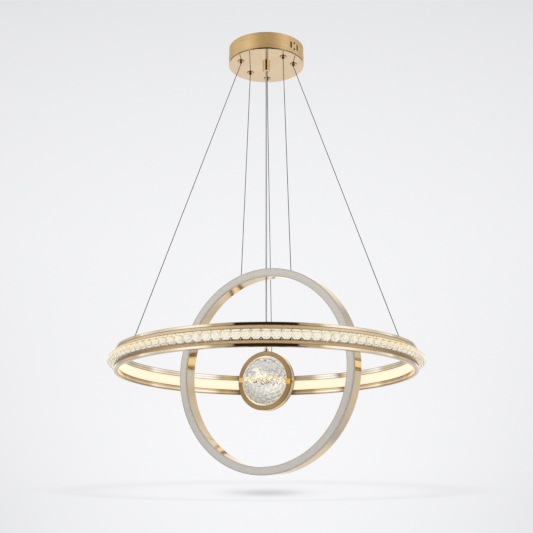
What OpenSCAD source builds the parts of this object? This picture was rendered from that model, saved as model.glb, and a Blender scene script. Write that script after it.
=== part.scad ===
// Ring pendant light: a crystal ring, an upright hoop and a glass ball hung from a ceiling canopy.
// Millimetres. The origin is on the ceiling, at the middle of the bracket, and everything hangs
// below it in -Z. The viewer of the lamp's front stands at -Y.

/* [Ceiling canopy] */
// Outer diameter of the drum
canopy_d = 153.5; // [145:0.5:200]
// Height of the drum below the ceiling
canopy_h = 37; // [34:0.5:60]
// Thickness of the drum's side band
band_t = 1.2; // [0.8:0.1:2]
// Thickness of the bottom plate
plate_t = 3; // [1.5:0.1:3.5]
// Rounding of the bottom plate's edge
plate_edge_r = 0.8; // [0.3:0.1:1.2]
// Compass angles of the two groups of vent holes
vent_angles = [-42.5, 137.5];
// Height of a vent slot
vent_slot_h = 13; // [6:0.5:16]
// Width of a vent slot
vent_slot_w = 2.6; // [1.5:0.1:4]
// Distance between the two slots of a group
vent_pitch = 18.7; // [12:0.1:24]
// Diameter of the small vent holes
vent_hole_d = 3; // [1.5:0.1:4]
// Distance between the two small holes
vent_hole_pitch = 13; // [8:0.5:16]

/* [Ceiling bracket] */
// Width of the bracket's two ears
bracket_w = 22; // [18:0.5:28]
// Thickness of the bracket's steel
bracket_t = 2; // [1.5:0.1:3]
// Gap between the bracket's round plate and the drum
bracket_gap = 1.5; // [1:0.1:3]
// Length of the ears that are bent down
ear_l = 26; // [20:0.5:29]
// Distance between the two ceiling slots
slot_pitch = 70; // [60:1:90]
// End-to-end length of a ceiling slot
slot_l = 16; // [10:0.5:20]
// Width of a ceiling slot
slot_w = 5; // [4:0.1:6]
// Diameter of the hole for the mains cable
mains_hole_d = 12; // [8:0.5:16]
// Depth of the side screws below the ceiling
side_screw_z = 18; // [12:0.5:20]
// Thread diameter of the side screws
side_screw_d = 4; // [3:0.5:5]
// Head diameter of the side screws
side_head_d = 6; // [5:0.5:9]
// Head thickness of the side screws
side_head_t = 0.6; // [0.4:0.1:2.5]

/* [Driver and wiring] */
// Length of the LED driver
driver_l = 72; // [50:1:76]
// Width of the LED driver
driver_w = 32; // [20:1:34]
// Height of the LED driver
driver_h = 21; // [14:0.5:24]
// Thickness of the driver's screw flanges
flange_t = 2; // [1.5:0.5:4]
// Length of the driver's screw flanges
flange_l = 6; // [5:0.5:8]
// Length of the terminal block
terminal_l = 36; // [24:1:40]
// Width of the terminal block
terminal_w = 16; // [12:0.5:20]
// Height of the terminal block
terminal_h = 14; // [10:0.5:18]
// Number of poles of the terminal block
terminal_poles = 3; // [2:1:4]
// Diameter of the inner leads
lead_d = 2.2; // [1.4:0.1:3]

/* [Wire grippers] */
// Distance in from the drum's edge and compass angle of the three outlets of the ring's wires
ring_outlets = [[20.55, -156.4], [20.45, -9.8], [19.35, 88.1]];
// Distance in from the drum's edge and compass angle of the two outlets of the hoop's wires
hoop_outlets = [[31.95, 138.1], [22.75, -51]];
// Diameter of the steel wires
wire_d = 1.4; // [0.8:0.1:1.6]
// Diameter of a gripper's flange
gripper_flange_d = 14; // [10:0.1:16]
// Thickness of a gripper's flange
gripper_flange_t = 1.2; // [0.8:0.1:2]
// Height of a gripper below the plate
gripper_h = 2.2; // [2:0.1:6]
// Diameter of a gripper's lower hub
gripper_tip_d = 6.2; // [6:0.1:8]
// Diameter of a gripper's threaded neck
gripper_neck_d = 8; // [7.6:0.1:9]
// Height of a gripper's neck above the plate's underside
gripper_neck_h = 10; // [9:0.5:12]
// Diameter of the release plunger
plunger_d = 4.4; // [4:0.1:4.6]
// Diameter of the plunger's collar, which stops it
plunger_collar_d = 5.9; // [5.4:0.1:6]
// Length of plunger that shows below the gripper
plunger_out = 2.6; // [2.3:0.1:4]
// Travel of the plunger when it is pressed
plunger_travel = 2; // [1:0.1:2.2]
// Width across the corners of a gripper's nut
gripper_nut_d = 13; // [11:0.1:15]
// Thickness of a gripper's nut
gripper_nut_t = 3.5; // [2.5:0.1:5]

/* [Cable and its grip] */
// Diameter of the power cable
cable_d = 3; // [2.4:0.1:3.6]
// Diameter of the cord grip
grip_d = 15; // [11:0.1:18]
// Height of the cord grip below the plate
grip_h = 14; // [10:0.5:18]
// Diameter of the cord grip's threaded neck
grip_neck_d = 10; // [8:0.5:11]
// Height of the neck above the plate's underside
grip_neck_h = 9; // [7:0.5:11]
// Width across the corners of the cord grip's nut
grip_nut_d = 18; // [14:0.5:20]
// Thickness of the cord grip's nut
grip_nut_t = 3.5; // [2.5:0.1:4.5]

/* [Crystal ring] */
// Diameter over the crystals
ring_d = 600; // [560:5:800]
// How far the crystals stand out of the rim
crystal_out = 13.3; // [10:0.1:16]
// Depth of the ring's centre below the ceiling
ring_drop = 656.3; // [600:0.1:700]
// Height of the ring's frame
ring_h = 40.8; // [38:0.1:46]
// Radial thickness of the ring's frame
ring_t = 7.5; // [7:0.1:10]
// Height of the polished rims
rim_h = 5; // [4:0.1:6]
// Rounding of the rims' edges
rim_r = 0.8; // [0.3:0.1:1.5]
// Depth of the outer channel
outer_channel = 2.3; // [2:0.1:3]
// Thickness of the web between the channels
ring_web = 1.4; // [1:0.1:2]
// Height of the inner diffuser
ring_diffuser_h = 20; // [16:0.5:24]
// Thickness of the inner diffuser
ring_diffuser_t = 1.6; // [1:0.1:2]
// How far the inner diffuser lies back from the lips
ring_diffuser_in = 0.4; // [0.2:0.1:0.8]
// How far the bezels lie back from the rims
bezel_in = 0.5; // [0.3:0.1:1]
// Compass angles of the ring's three wire anchors
ring_anchor_angles = [-144, -35, 87.4];

/* [Crystals] */
// Number of crystals
crystal_count = 110; // [90:1:120]
// Height of a crystal
crystal_h = 18.4; // [14:0.1:20]
// Gap between crystals at their widest
crystal_gap = 0.5; // [0.3:0.1:1.5]
// Size of the corners cut off a crystal's outline
crystal_cut = 4.2; // [2:0.1:6]
// Gap between a crystal's foot and the light strip
crystal_seat = 0.3; // [0.2:0.05:0.4]

/* [Hoop] */
// Outer diameter of the hoop
hoop_d = 390.6; // [340:0.2:440]
// Radial width of the hoop
hoop_t = 15.5; // [14:0.1:20]
// Depth of the hoop from front to back
hoop_w = 28.3; // [26:0.1:34]
// Wall of the hoop's channel
hoop_wall = 1.5; // [1:0.1:2]
// Depth of the hoop's centre below the ceiling
hoop_drop = 669.2; // [600:0.1:720]
// Turn of the hoop about the vertical
hoop_yaw = 32.7; // [0:0.1:60]
// Lean of the hoop out of the vertical
hoop_lean = 1.9; // [0:0.1:3]
// Thickness of the frosted front at its edges
front_t = 3.2; // [2:0.1:5]
// Crown of the frosted front
front_crown = 1; // [0.4:0.1:2]
// Distance of the two wire anchors from the hoop's middle
hoop_anchor_s = 57; // [40:0.5:80]
// How far the two wire anchors lie behind the middle of the hoop's depth
hoop_anchor_back = 4; // [0:0.5:8]
// Distance of the small screw from the hoop's middle
hoop_screw_s = 16; // [12:0.5:30]

/* [Ball] */
// Diameter of the glass ball
ball_d = 90; // [80:0.5:110]
// Depth of the ball's centre below the ceiling
ball_drop = 689.5; // [640:0.1:720]
// Turn of the ball's holder about the vertical
ball_yaw = 27; // [0:0.5:60]
// Gap between the ball and the holder's opening
glass_gap = 1.2; // [0.8:0.1:4]
// Radial width of the holder
holder_t = 9.7; // [8:0.1:12]
// Depth of the holder from front to back
holder_w = 15.6; // [14.5:0.1:20]
// Wall of the holder's channel
holder_wall = 1.5; // [1:0.1:1.8]
// Thickness of the diffuser inside the holder
ball_diffuser_t = 1.4; // [1:0.1:1.6]
// Height of the two clips that grip the ball
clip_h = 9; // [6:0.1:12]
// How far a clip stands proud of the holder's faces
clip_proud = 0.4; // [0.2:0.1:1]
// Gap between a clip and the ball
clip_gap = 0.3; // [0.2:0.05:0.5]
// Turn of the line through the two clips from the level
clip_turn = 5; // [0:0.5:10]
// Diameter of a clip's head outside the holder
clip_head_d = 7; // [5:0.1:9]
// Thickness of a clip's head
clip_head_t = 0.9; // [0.6:0.1:1.5]
// Diameter of the stem above the holder
stem_d = 9.5; // [8:0.1:11]
// Height of the stem above the holder
stem_h = 6.4; // [5:0.1:10]
// Diameter of the stem's neck, on which the ball turns
stem_neck_d = 6; // [5:0.1:7]

/* [Light strips] */
// Width of the light strips
strip_w = 8; // [6:0.1:8]
// Thickness of the strips' bare board
board_t = 0.4; // [0.2:0.1:0.5]
// Height of a light chip above the board
chip_t = 0.6; // [0.4:0.1:0.7]
// Length of a light chip
chip_l = 5; // [3:0.5:6]
// Number of chips on each of the ring's strips
ring_chips = 72; // [36:1:96]
// Number of chips on the hoop's strip
hoop_chips = 48; // [24:1:72]
// Number of chips on the ball's strip
ball_chips = 14; // [8:1:18]

/* [Clearances] */
// Gap between a thread or shank and its hole
hole_gap = 0.1; // [0.05:0.05:0.2]
// Radial gap of a part that slides or turns
running_gap = 0.05; // [0.02:0.01:0.1]
// Gap between pieces that lie against each other on a curve
seat_gap = 0.15; // [0.1:0.05:0.3]
// Gap under a head or a base that is drawn tight
tight_gap = 0.05; // [0.02:0.01:0.1]
// Gap between a wire and the hole that it passes through
wire_gap = 0.25; // [0.15:0.05:0.4]
// Gap between the driver's flange and the nearest nut
nut_gap = 0.85; // [0.5:0.05:2]

/* [Hidden] */
$fn = 96;

// Colours, as the lamp has them
satin_gold = [0.80, 0.66, 0.46];
pale_gold = [0.87, 0.77, 0.62];
polished_gold = [0.86, 0.68, 0.40];
bronze_gold = [0.66, 0.52, 0.34];
steel = [0.62, 0.62, 0.62];
frosted = [0.93, 0.92, 0.89];
warm_white = [1.0, 0.95, 0.82];
clear_glass = [0.85, 0.90, 0.92, 0.5];
board_white = [0.95, 0.95, 0.93];

// Canopy: places that follow from the driving sizes
canopy_r = canopy_d / 2;
band_in_r = canopy_r - band_t;
plate_z = -canopy_h;
plate_top = plate_z + plate_t;
ear_x = sqrt(pow(band_in_r, 2) - pow(bracket_w / 2, 2)) - seat_gap;
grip_screw_down = 0.62 * grip_h;
lead_top = 16;
cable_top = 22;

// Small screws of the driver, the cord grip and the hoop
small_screw_r = 1.5;
small_head_r = 2.8;
small_head_t = 1.8;

// Wire outlets, measured from the lamp's axis
outlets = [for (o = concat(ring_outlets, hoop_outlets)) (canopy_r - o[0]) * [cos(o[1]), sin(o[1])]];

// Driver, beside the nut of the hoop's first wire, and terminal block
driver_x0 = outlets[3][0] + gripper_nut_d / 2 + nut_gap + flange_l;
driver_x1 = driver_x0 + driver_l;
driver_y0 = 12;
driver_y1 = driver_y0 + driver_w;
driver_edge = 1.5;
terminal_x0 = -28;
terminal_y0 = -46;
terminal_pole = terminal_l / terminal_poles;
terminal_well = 6;
terminal_well_r = 2.2;
terminal_port_r = 1.8;
terminal_slit = 3;

// What a gripper holds inside, measured from the plate's underside
chamber_r = plunger_collar_d / 2 + seat_gap;
chamber_roof = gripper_neck_h - 2.5;
collar_t = 1.5;
shoulder_z = -gripper_h + 2.8;
spring_z0 = shoulder_z + collar_t;
spring_r = chamber_r - seat_gap;
spring_wall = 0.7;
spring_play = 0.02;
plunger_core_r = spring_r - spring_wall - 0.2;
plunger_core_top = chamber_roof - plunger_travel - 0.1;
plunger_chamfer = 0.4;
flange_chamfer = 0.3;
mouth_z = -gripper_h - plunger_out;
wire_hole_r = wire_d / 2 + wire_gap;
bend_below = 0.8;
wire_bend_l = 0.6;

// Ring: radii from the crystals inwards
rim_out_r = ring_d / 2 - crystal_out;
ring_in_r = rim_out_r - ring_t;
web_out_r = rim_out_r - outer_channel;
web_in_r = web_out_r - ring_web;
ring_mid_r = (rim_out_r + ring_in_r) / 2;
diffuser_r = ring_in_r + ring_diffuser_in;
channel_h = ring_h / 2 - rim_h;
light_channel_h = ring_diffuser_h / 2 - 1;
bezel_r = rim_out_r - bezel_in;
bezel_low = crystal_h / 2 + 0.2;
bezel_chamfer = 0.4;
outer_board_r = web_out_r + seat_gap;
inner_board_r = web_in_r - seat_gap - board_t;
crystal_foot_r = outer_board_r + board_t + chip_t + crystal_seat;

// A crystal: its girdle, and the parts of its half height and half width at foot, crown and table
girdle_r = crystal_foot_r + 4;
girdle_t = 2.5;
crown_l = 2.6;
foot_part = 0.7;
crown_part = 0.66;
table_part = 0.3;
crystal_w = 2 * girdle_r * tan(180 / crystal_count) - crystal_gap;

// Anchors: a small ferrule on a stud, in which the wire ends
anchor_stud_r = 1.5;
ferrule_r = 1.8;
ferrule_h = 2.6;
ferrule_chamfer = 0.5;
anchor_rise = 1.2;
ring_stud_l = 5;
hoop_stud_l = 4;

// Hoop
hoop_r = hoop_d / 2;
hoop_in_r = hoop_r - hoop_t;
hoop_mid_r = (hoop_r + hoop_in_r) / 2;
hoop_back = -hoop_w / 2;
front_base = hoop_w / 2 - front_crown - front_t;
bushing_r = 3;
bushing_flange_r = 3.7;
bushing_flange_t = 1;
bushing_nut_t = 2;
bushing_nut_r = bushing_flange_r + 0.8;
bushing_low = -hoop_drop + hoop_in_r / cos(hoop_lean) - bushing_flange_r * tan(hoop_lean)
  - seat_gap - bushing_flange_t;
bushing_high = -hoop_drop + hoop_r / cos(hoop_lean) + bushing_nut_r * tan(hoop_lean) + seat_gap;
hoop_top_shift = sin(hoop_lean) * hoop_mid_r;
hoop_head_r = 2.4;
hoop_head_t = 0.9;
front_spigot = 1.5;

// Ball
ball_r = ball_d / 2;
holder_in_r = ball_r + glass_gap;
holder_r = holder_in_r + holder_t;
holder_floor_r = holder_r - holder_wall;
boss_r = 6;
boss_rise = 0.9;
boss_depth = 3.2;
stem_nut_t = 2.8;
stem_nut_r = 4.6;
stem_chamfer = 1.6;
stem_shoulder_z = -ball_drop + holder_r + boss_rise + 0.1;
stem_top_z = stem_shoulder_z + stem_h;
stem_lead_r = 1;
cable_socket = 4.5;
clip_out_x = sqrt(pow(holder_floor_r, 2) - pow(clip_h / 2, 2)) - tight_gap;
clip_in_x = ball_r - 0.5;
clip_neck_r = 1.6;
strip_gap_angle = 22;

// A point of the hoop in the lamp's frame: s to the side, v up and d forwards, from the hoop's centre
function hoop_point(s, v, d) =
  let (y = -d * cos(hoop_lean) - v * sin(hoop_lean), z = -d * sin(hoop_lean) + v * cos(hoop_lean))
  [s * cos(hoop_yaw) + y * sin(hoop_yaw), -s * sin(hoop_yaw) + y * cos(hoop_yaw), z - hoop_drop];

// Where a wire's anchor stands on the hoop, and the centre of its ball
function hoop_anchor(side, rise) =
  let (s = side * hoop_anchor_s, up = sqrt(pow(hoop_r, 2) - pow(s, 2)), k = (hoop_r + rise) / hoop_r)
  hoop_point(s * k, up * k, -hoop_anchor_back);

// A point on the axis of the hoop's small screw, at a radius of the hoop
function screw_axis(r) =
  let (a = asin(hoop_screw_s / hoop_in_r)) hoop_point(r * sin(a), r * cos(a), -hoop_top_shift);

// Where a wire's anchor stands on the ring
function ring_anchor(i, rise) =
  [ring_mid_r * cos(ring_anchor_angles[i]), ring_mid_r * sin(ring_anchor_angles[i]),
   -ring_drop + ring_h / 2 + rise];

wire_ends = [ring_anchor(0, anchor_rise), ring_anchor(1, anchor_rise), ring_anchor(2, anchor_rise),
             hoop_anchor(-1, anchor_rise), hoop_anchor(1, anchor_rise)];
wire_bends = [for (o = outlets) [o[0], o[1], plate_z + mouth_z - bend_below]];
wire_socket_l = 6;

// Output leads, one for each outlet in its order: where it leaves the driver, the way out and where
// it passes. The last one goes to the cable
lead_z = plate_top + driver_h - 5;
lead_stub = 3;
lead_starts = [
  [driver_x0, driver_y0 + 8, lead_z], [driver_x1 - 8, driver_y0, lead_z],
  [driver_x0 + 30, driver_y1, lead_z], [driver_x0, outlets[3][1], lead_z],
  [driver_x1 - 22, driver_y0, lead_z], [driver_x0 + 34, driver_y0, lead_z]];
lead_outs = [[-1, 0, 0], [0, -1, 0], [0, 1, 0], [-1, 0, 0], [0, -1, 0], [0, -1, 0]];
lead_bys = [
  [outlets[0][0] + 14, driver_y0, -lead_top], [driver_x1 - 4, driver_y0 - 8, -lead_top],
  [6, driver_y1 + 6, -lead_top], [driver_x0 - 6, outlets[3][1], -lead_top],
  [outlets[4][0], driver_y0 - 14, -lead_top], [8, 5, -lead_top]];
lead_ends = concat(outlets, [[0, 0]]);

// Points of an arc about a centre, in a plane
function arc_points(centre, r, from, to, steps) =
  [for (i = [0:steps]) let (a = from + (to - from) * i / steps) centre + r * [cos(a), sin(a)]];

// Turns what stands on the origin so that it runs from one point towards another
module along(from, to) {
  d = to - from;
  translate(from)
    rotate([0, acos(d[2] / norm(d)), atan2(d[1], d[0])])
      children();
}

// A round rod between two points
module rod(from, to, r) {
  along(from, to) cylinder(r = r, h = norm(to - from), $fn = 48);
}

// A route with its corners rounded: each corner gives way to two points, twice over
function soften(p) = concat([p[0]],
  [for (i = [0:len(p) - 2]) each [0.75 * p[i] + 0.25 * p[i + 1], 0.25 * p[i] + 0.75 * p[i + 1]]],
  [p[len(p) - 1]]);

function unit(v) = v / norm(v);

// Direction of a route at each of its points
function headings(p) = [for (i = [0:len(p) - 1]) unit(p[min(i + 1, len(p) - 1)] - p[max(i - 1, 0)])];

// A side direction at each point, carried along the route without twisting
function side_ways(t, i, n) =
  i == len(t) ? [] : let (m = unit(n - (n * t[i]) * t[i])) concat([m], side_ways(t, i + 1, m));

// One tube with flat sides, swept along a route
module tube(route, r, sides) {
  t = headings(route);
  m = side_ways(t, 0, abs(t[0][2]) > 0.9 ? [1, 0, 0] : [0, 0, 1]);
  last = (len(route) - 1) * sides;
  polyhedron(
    points = [for (i = [0:len(route) - 1]) for (k = [0:sides - 1])
      route[i] + r * (cos(k * 360 / sides) * m[i] + sin(k * 360 / sides) * cross(t[i], m[i]))],
    faces = concat(
      [[for (k = [0:sides - 1]) k]], [[for (k = [sides - 1:-1:0]) last + k]],
      [for (i = [0:len(route) - 2]) for (k = [0:sides - 1])
        let (a = i * sides + k, b = i * sides + (k + 1) % sides)
          each [[a, a + sides, b], [b, a + sides, b + sides]]]),
    convexity = 6);
}

// An insulated lead along a list of points, whose corners it rounds
module lead(points, r) {
  tube(soften(soften(points)), r, 8);
}

// A hexagon nut standing on its place
module hex_nut(across, t, hole_r) {
  difference() {
    cylinder(d = across, h = t, $fn = 6);
    translate([0, 0, -1]) cylinder(r = hole_r, h = t + 2);
  }
}

// A slot with round ends along X, cut through in Z
module slot(l, w, t) {
  for (x = [-1, 1]) translate([x * (l - w) / 2, 0, 0]) cylinder(d = w, h = t, center = true);
  cube([l - w, w, t], center = true);
}

// Everything of the hoop is drawn round Z with the front up, and stood in its place by this
module at_hoop() {
  translate([0, 0, -hoop_drop])
    rotate([0, 0, -hoop_yaw]) rotate([hoop_lean, 0, 0]) rotate([90, 0, 0])
      children();
}

// The ball's own frame: its centre, with the holder's front towards -Y
module at_ball() {
  translate([0, 0, -ball_drop]) rotate([0, 0, -ball_yaw]) children();
}

module side_screw_axes(r, from, l) {
  for (side = [0, 180]) rotate([0, 0, side])
    translate([from, 0, -side_screw_z]) rotate([0, 90, 0]) cylinder(r = r, h = l, $fn = 48);
}

// A round plate that closes the drum's top, with an ear bent down at each side for the side screws
module mounting_bracket() {
  color(steel) difference() {
    union() {
      translate([0, 0, -bracket_t]) cylinder(r = band_in_r - bracket_gap, h = bracket_t, $fn = 180);
      translate([-ear_x, -bracket_w / 2, -bracket_t]) cube([2 * ear_x, bracket_w, bracket_t]);
      for (side = [-1, 1])
        translate([side * (ear_x - bracket_t / 2), 0, -ear_l / 2])
          cube([bracket_t, bracket_w, ear_l], center = true);
    }
    translate([0, 0, -bracket_t / 2]) cylinder(d = mains_hole_d, h = 2 * bracket_t, center = true);
    for (side = [-1, 1])
      translate([side * slot_pitch / 2, 0, -bracket_t / 2]) slot(slot_l, slot_w, 2 * bracket_t);
    side_screw_axes(side_screw_d / 2 + hole_gap, ear_x - 2 * bracket_t, 4 * bracket_t);
  }
}

// One group of vent holes: two upright slots with two small holes between them
module vent_group() {
  translate([canopy_r, 0, -canopy_h / 2]) rotate([0, 90, 0]) {
    for (side = [-1, 1])
      translate([0, side * vent_pitch / 2, 0]) slot(vent_slot_h, vent_slot_w, 8 * band_t);
    for (up = [-1, 1])
      translate([up * vent_hole_pitch / 2, 0, 0]) cylinder(d = vent_hole_d, h = 8 * band_t, center = true);
  }
}

module canopy_band() {
  color(satin_gold) difference() {
    translate([0, 0, plate_top]) cylinder(r = canopy_r, h = canopy_h - plate_t, $fn = 180);
    translate([0, 0, plate_top - 1]) cylinder(r = band_in_r, h = canopy_h + 2, $fn = 180);
    for (a = vent_angles) rotate([0, 0, a]) vent_group();
    side_screw_axes(side_screw_d / 2 + hole_gap, band_in_r - 3, 8);
  }
}

module canopy_plate() {
  color(pale_gold) difference() {
    translate([0, 0, plate_z]) rotate_extrude($fn = 180) polygon(concat(
      [[0, plate_t], [0, 0]],
      arc_points([canopy_r - plate_edge_r, plate_edge_r], plate_edge_r, -90, 0, 5),
      [[canopy_r, plate_t]]));
    for (o = outlets) translate([o[0], o[1], plate_z - 1])
      cylinder(r = gripper_neck_d / 2 + hole_gap, h = plate_t + 2);
    translate([0, 0, plate_z - 1]) cylinder(r = grip_neck_d / 2 + hole_gap, h = plate_t + 2);
  }
}

module side_screws() {
  inward = bracket_t + 3;
  color(polished_gold) {
    side_screw_axes(side_screw_d / 2, ear_x - inward, canopy_r - ear_x + inward);
    for (side = [0, 180]) rotate([0, 0, side]) translate([canopy_r + tight_gap, 0, -side_screw_z])
      rotate([0, 90, 0]) rotate_extrude($fn = 48) polygon([[0, -1], [side_screw_d / 2, -1],
        [side_screw_d / 2, 0], [side_head_d / 2, 0], [side_head_d / 2, side_head_t * 0.4],
        [side_head_d / 2 - side_head_t * 0.7, side_head_t], [0, side_head_t]]);
  }
}

module driver_flange_places() {
  for (x = [driver_x0 - flange_l / 2, driver_x1 + flange_l / 2])
    translate([x, driver_y0 + driver_w / 2, plate_top]) children();
}

module led_driver() {
  e = driver_edge;
  color("whitesmoke") difference() {
    union() {
      translate([driver_x0, driver_y0, plate_top]) {
        cube([driver_l, driver_w, driver_h - e]);
        translate([e, e, 0]) cube([driver_l - 2 * e, driver_w - 2 * e, driver_h]);
      }
      driver_flange_places()
        translate([-flange_l / 2, -flange_l, 0]) cube([flange_l, 2 * flange_l, flange_t]);
    }
    driver_flange_places()
      translate([0, 0, -1]) cylinder(r = small_screw_r + hole_gap, h = flange_t + 2, $fn = 48);
  }
}

module driver_screws() {
  color(steel) driver_flange_places() {
    cylinder(r = small_screw_r, h = flange_t, $fn = 48);
    translate([0, 0, flange_t]) cylinder(r = small_head_r, h = small_head_t, $fn = 48);
  }
}

function pole_x(i) = terminal_x0 + (i + 0.5) * terminal_pole;

module terminal_places() {
  for (i = [0:terminal_poles - 1])
    translate([pole_x(i), terminal_y0 + terminal_w / 2, plate_top]) children();
}

module terminal_block() {
  well = terminal_h - terminal_well;
  slit_z = plate_top + terminal_h - terminal_slit;
  color("white") difference() {
    translate([terminal_x0, terminal_y0, plate_top]) cube([terminal_l, terminal_w, terminal_h]);
    terminal_places() {
      translate([0, 0, well]) cylinder(r = terminal_well_r, h = terminal_well + 1, $fn = 48);
      translate([0, -terminal_w, terminal_h / 2 - 1]) rotate([-90, 0, 0])
        cylinder(r = terminal_port_r, h = terminal_w / 2 + 4, $fn = 48);
    }
    for (i = [1:terminal_poles - 1])
      translate([terminal_x0 + i * terminal_pole - 0.5, terminal_y0 - 1, slit_z])
        cube([1, terminal_w + 2, terminal_slit + 1]);
  }
}

module terminal_screws() {
  head = terminal_well - 2;
  color(steel) terminal_places() translate([0, 0, terminal_h - terminal_well]) difference() {
    cylinder(r = terminal_well_r - hole_gap, h = head, $fn = 48);
    translate([-3, -0.4, head - 1]) cube([6, 0.8, 2]);
  }
}

// Two leads from the terminal block's first two poles to the driver
module mains_leads() {
  y0 = terminal_y0 + terminal_w + tight_gap;
  y1 = driver_y0 - tight_gap;
  low = plate_top + 4;
  high = plate_top + 8;
  color("saddlebrown") for (i = [0, 1]) let (x0 = pole_x(i), x1 = driver_x0 + 3 + 5 * i)
    lead([[x0, y0, low], [x0, y0 + lead_stub, low], [x0, y0 + 8, high], [x1, y1 - 8, high],
          [x1, y1 - lead_stub, low], [x1, y1, low]], lead_d / 2);
}

// Leads from the driver to the tops of the five wires and of the cable
module output_leads() {
  color("dimgray") for (i = [0:5]) let (from = lead_starts[i], out = lead_outs[i], to = lead_ends[i])
    lead([from + tight_gap * out, from + lead_stub * out, lead_bys[i], [to[0], to[1], -lead_top],
          [to[0], to[1], -cable_top]], lead_d / 2);
}

module at_outlet(i) {
  translate([outlets[i][0], outlets[i][1], plate_z]) children();
}

module gripper_body(i) {
  bore_r = plunger_d / 2 + running_gap;
  color(polished_gold) at_outlet(i) rotate_extrude() polygon([
    [wire_hole_r, gripper_neck_h], [wire_hole_r, chamber_roof], [chamber_r, chamber_roof],
    [chamber_r, shoulder_z], [bore_r, shoulder_z], [bore_r, -gripper_h],
    [gripper_tip_d / 2, -gripper_h], [gripper_tip_d / 2, -gripper_flange_t],
    [gripper_flange_d / 2 - flange_chamfer, -gripper_flange_t],
    [gripper_flange_d / 2, flange_chamfer - gripper_flange_t], [gripper_flange_d / 2, 0],
    [gripper_neck_d / 2, 0], [gripper_neck_d / 2, gripper_neck_h]]);
}

module gripper_plunger(i) {
  collar_z = shoulder_z + spring_play;
  color(bronze_gold) at_outlet(i) rotate_extrude() polygon([
    [wire_hole_r, plunger_core_top], [wire_hole_r, mouth_z], [plunger_d / 2 - plunger_chamfer, mouth_z],
    [plunger_d / 2, mouth_z + plunger_chamfer], [plunger_d / 2, collar_z], [plunger_collar_d / 2, collar_z],
    [plunger_collar_d / 2, spring_z0], [plunger_core_r, spring_z0], [plunger_core_r, plunger_core_top]]);
}

// The spring between a plunger's collar and the roof of its chamber
module gripper_spring(i) {
  color(steel) at_outlet(i) rotate_extrude()
    translate([spring_r - spring_wall, spring_z0 + spring_play])
      square([spring_wall, chamber_roof - spring_z0 - 2 * spring_play]);
}

module gripper_nuts() {
  color(steel) for (o = outlets) translate([o[0], o[1], plate_top])
    hex_nut(gripper_nut_d, gripper_nut_t, gripper_neck_d / 2 + hole_gap);
}

module cord_grip() {
  bore = cable_d / 2 + running_gap;
  low = 2;
  high = 0.5;
  color(polished_gold) translate([0, 0, plate_z]) difference() {
    rotate_extrude() polygon([
      [bore, grip_neck_h], [bore, -grip_h], [grip_d / 2 - low, -grip_h], [grip_d / 2, -grip_h + low],
      [grip_d / 2, -high], [grip_d / 2 - high, 0], [grip_neck_d / 2, 0], [grip_neck_d / 2, grip_neck_h]]);
    translate([0, 0, -grip_screw_down]) rotate([-90, 0, 0])
      cylinder(r = small_screw_r + hole_gap, h = grip_d, $fn = 48);
  }
}

module cord_grip_nut() {
  color(steel) translate([0, 0, plate_top]) hex_nut(grip_nut_d, grip_nut_t, grip_neck_d / 2 + hole_gap);
}

// A set screw that clamps the cable, with a hexagon socket
module cord_grip_screw() {
  l = (grip_d - cable_d) / 2;
  color(steel) translate([0, cable_d / 2 + running_gap, plate_z - grip_screw_down]) rotate([-90, 0, 0])
    difference() {
      cylinder(r = small_screw_r, h = l, $fn = 48);
      translate([0, 0, l - 1.5]) cylinder(r = 0.8, h = 2, $fn = 6);
    }
}

module power_cable() {
  color("gainsboro") translate([0, 0, stem_top_z - cable_socket])
    cylinder(d = cable_d, h = -cable_top - stem_top_z + cable_socket, $fn = 48);
}

// A wire: upright through its gripper, then straight to its anchor
module hanging_wire(i) {
  bend = wire_bends[i];
  slant = unit(wire_ends[i] - bend);
  color(steel) tube([
    [bend[0], bend[1], -cable_top], bend + [0, 0, wire_bend_l], bend, bend + wire_bend_l * slant,
    wire_ends[i]], wire_d / 2, 12);
}

module ring_profile() {
  top = ring_h / 2;
  polygon(concat(
    arc_points([rim_out_r - rim_r, top - rim_r], rim_r, 0, 90, 4),
    arc_points([ring_in_r + rim_r, top - rim_r], rim_r, 90, 180, 4),
    [[ring_in_r, ring_diffuser_h / 2], [diffuser_r + ring_diffuser_t, ring_diffuser_h / 2],
     [diffuser_r + ring_diffuser_t, light_channel_h], [web_in_r, light_channel_h],
     [web_in_r, -light_channel_h], [diffuser_r + ring_diffuser_t, -light_channel_h],
     [diffuser_r + ring_diffuser_t, -ring_diffuser_h / 2], [ring_in_r, -ring_diffuser_h / 2]],
    arc_points([ring_in_r + rim_r, -top + rim_r], rim_r, 180, 270, 4),
    arc_points([rim_out_r - rim_r, -top + rim_r], rim_r, 270, 360, 4),
    [[rim_out_r, -channel_h], [web_out_r, -channel_h], [web_out_r, channel_h], [rim_out_r, channel_h]]));
}

module ring_frame() {
  color(polished_gold) difference() {
    translate([0, 0, -ring_drop]) rotate_extrude($fn = 360) ring_profile();
    for (i = [0:2]) translate(ring_anchor(i, -ring_stud_l))
      cylinder(r = anchor_stud_r + running_gap, h = ring_stud_l + 1, $fn = 48);
  }
}

// A bezel lies against a rim in the outer channel, above or below the crystals
module ring_bezel(side) {
  color(satin_gold) translate([0, 0, -ring_drop]) rotate_extrude($fn = 360) polygon([
    [outer_board_r, side * bezel_low], [bezel_r - bezel_chamfer, side * bezel_low],
    [bezel_r, side * (bezel_low + bezel_chamfer)], [bezel_r, side * channel_h],
    [outer_board_r, side * channel_h]]);
}

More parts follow.
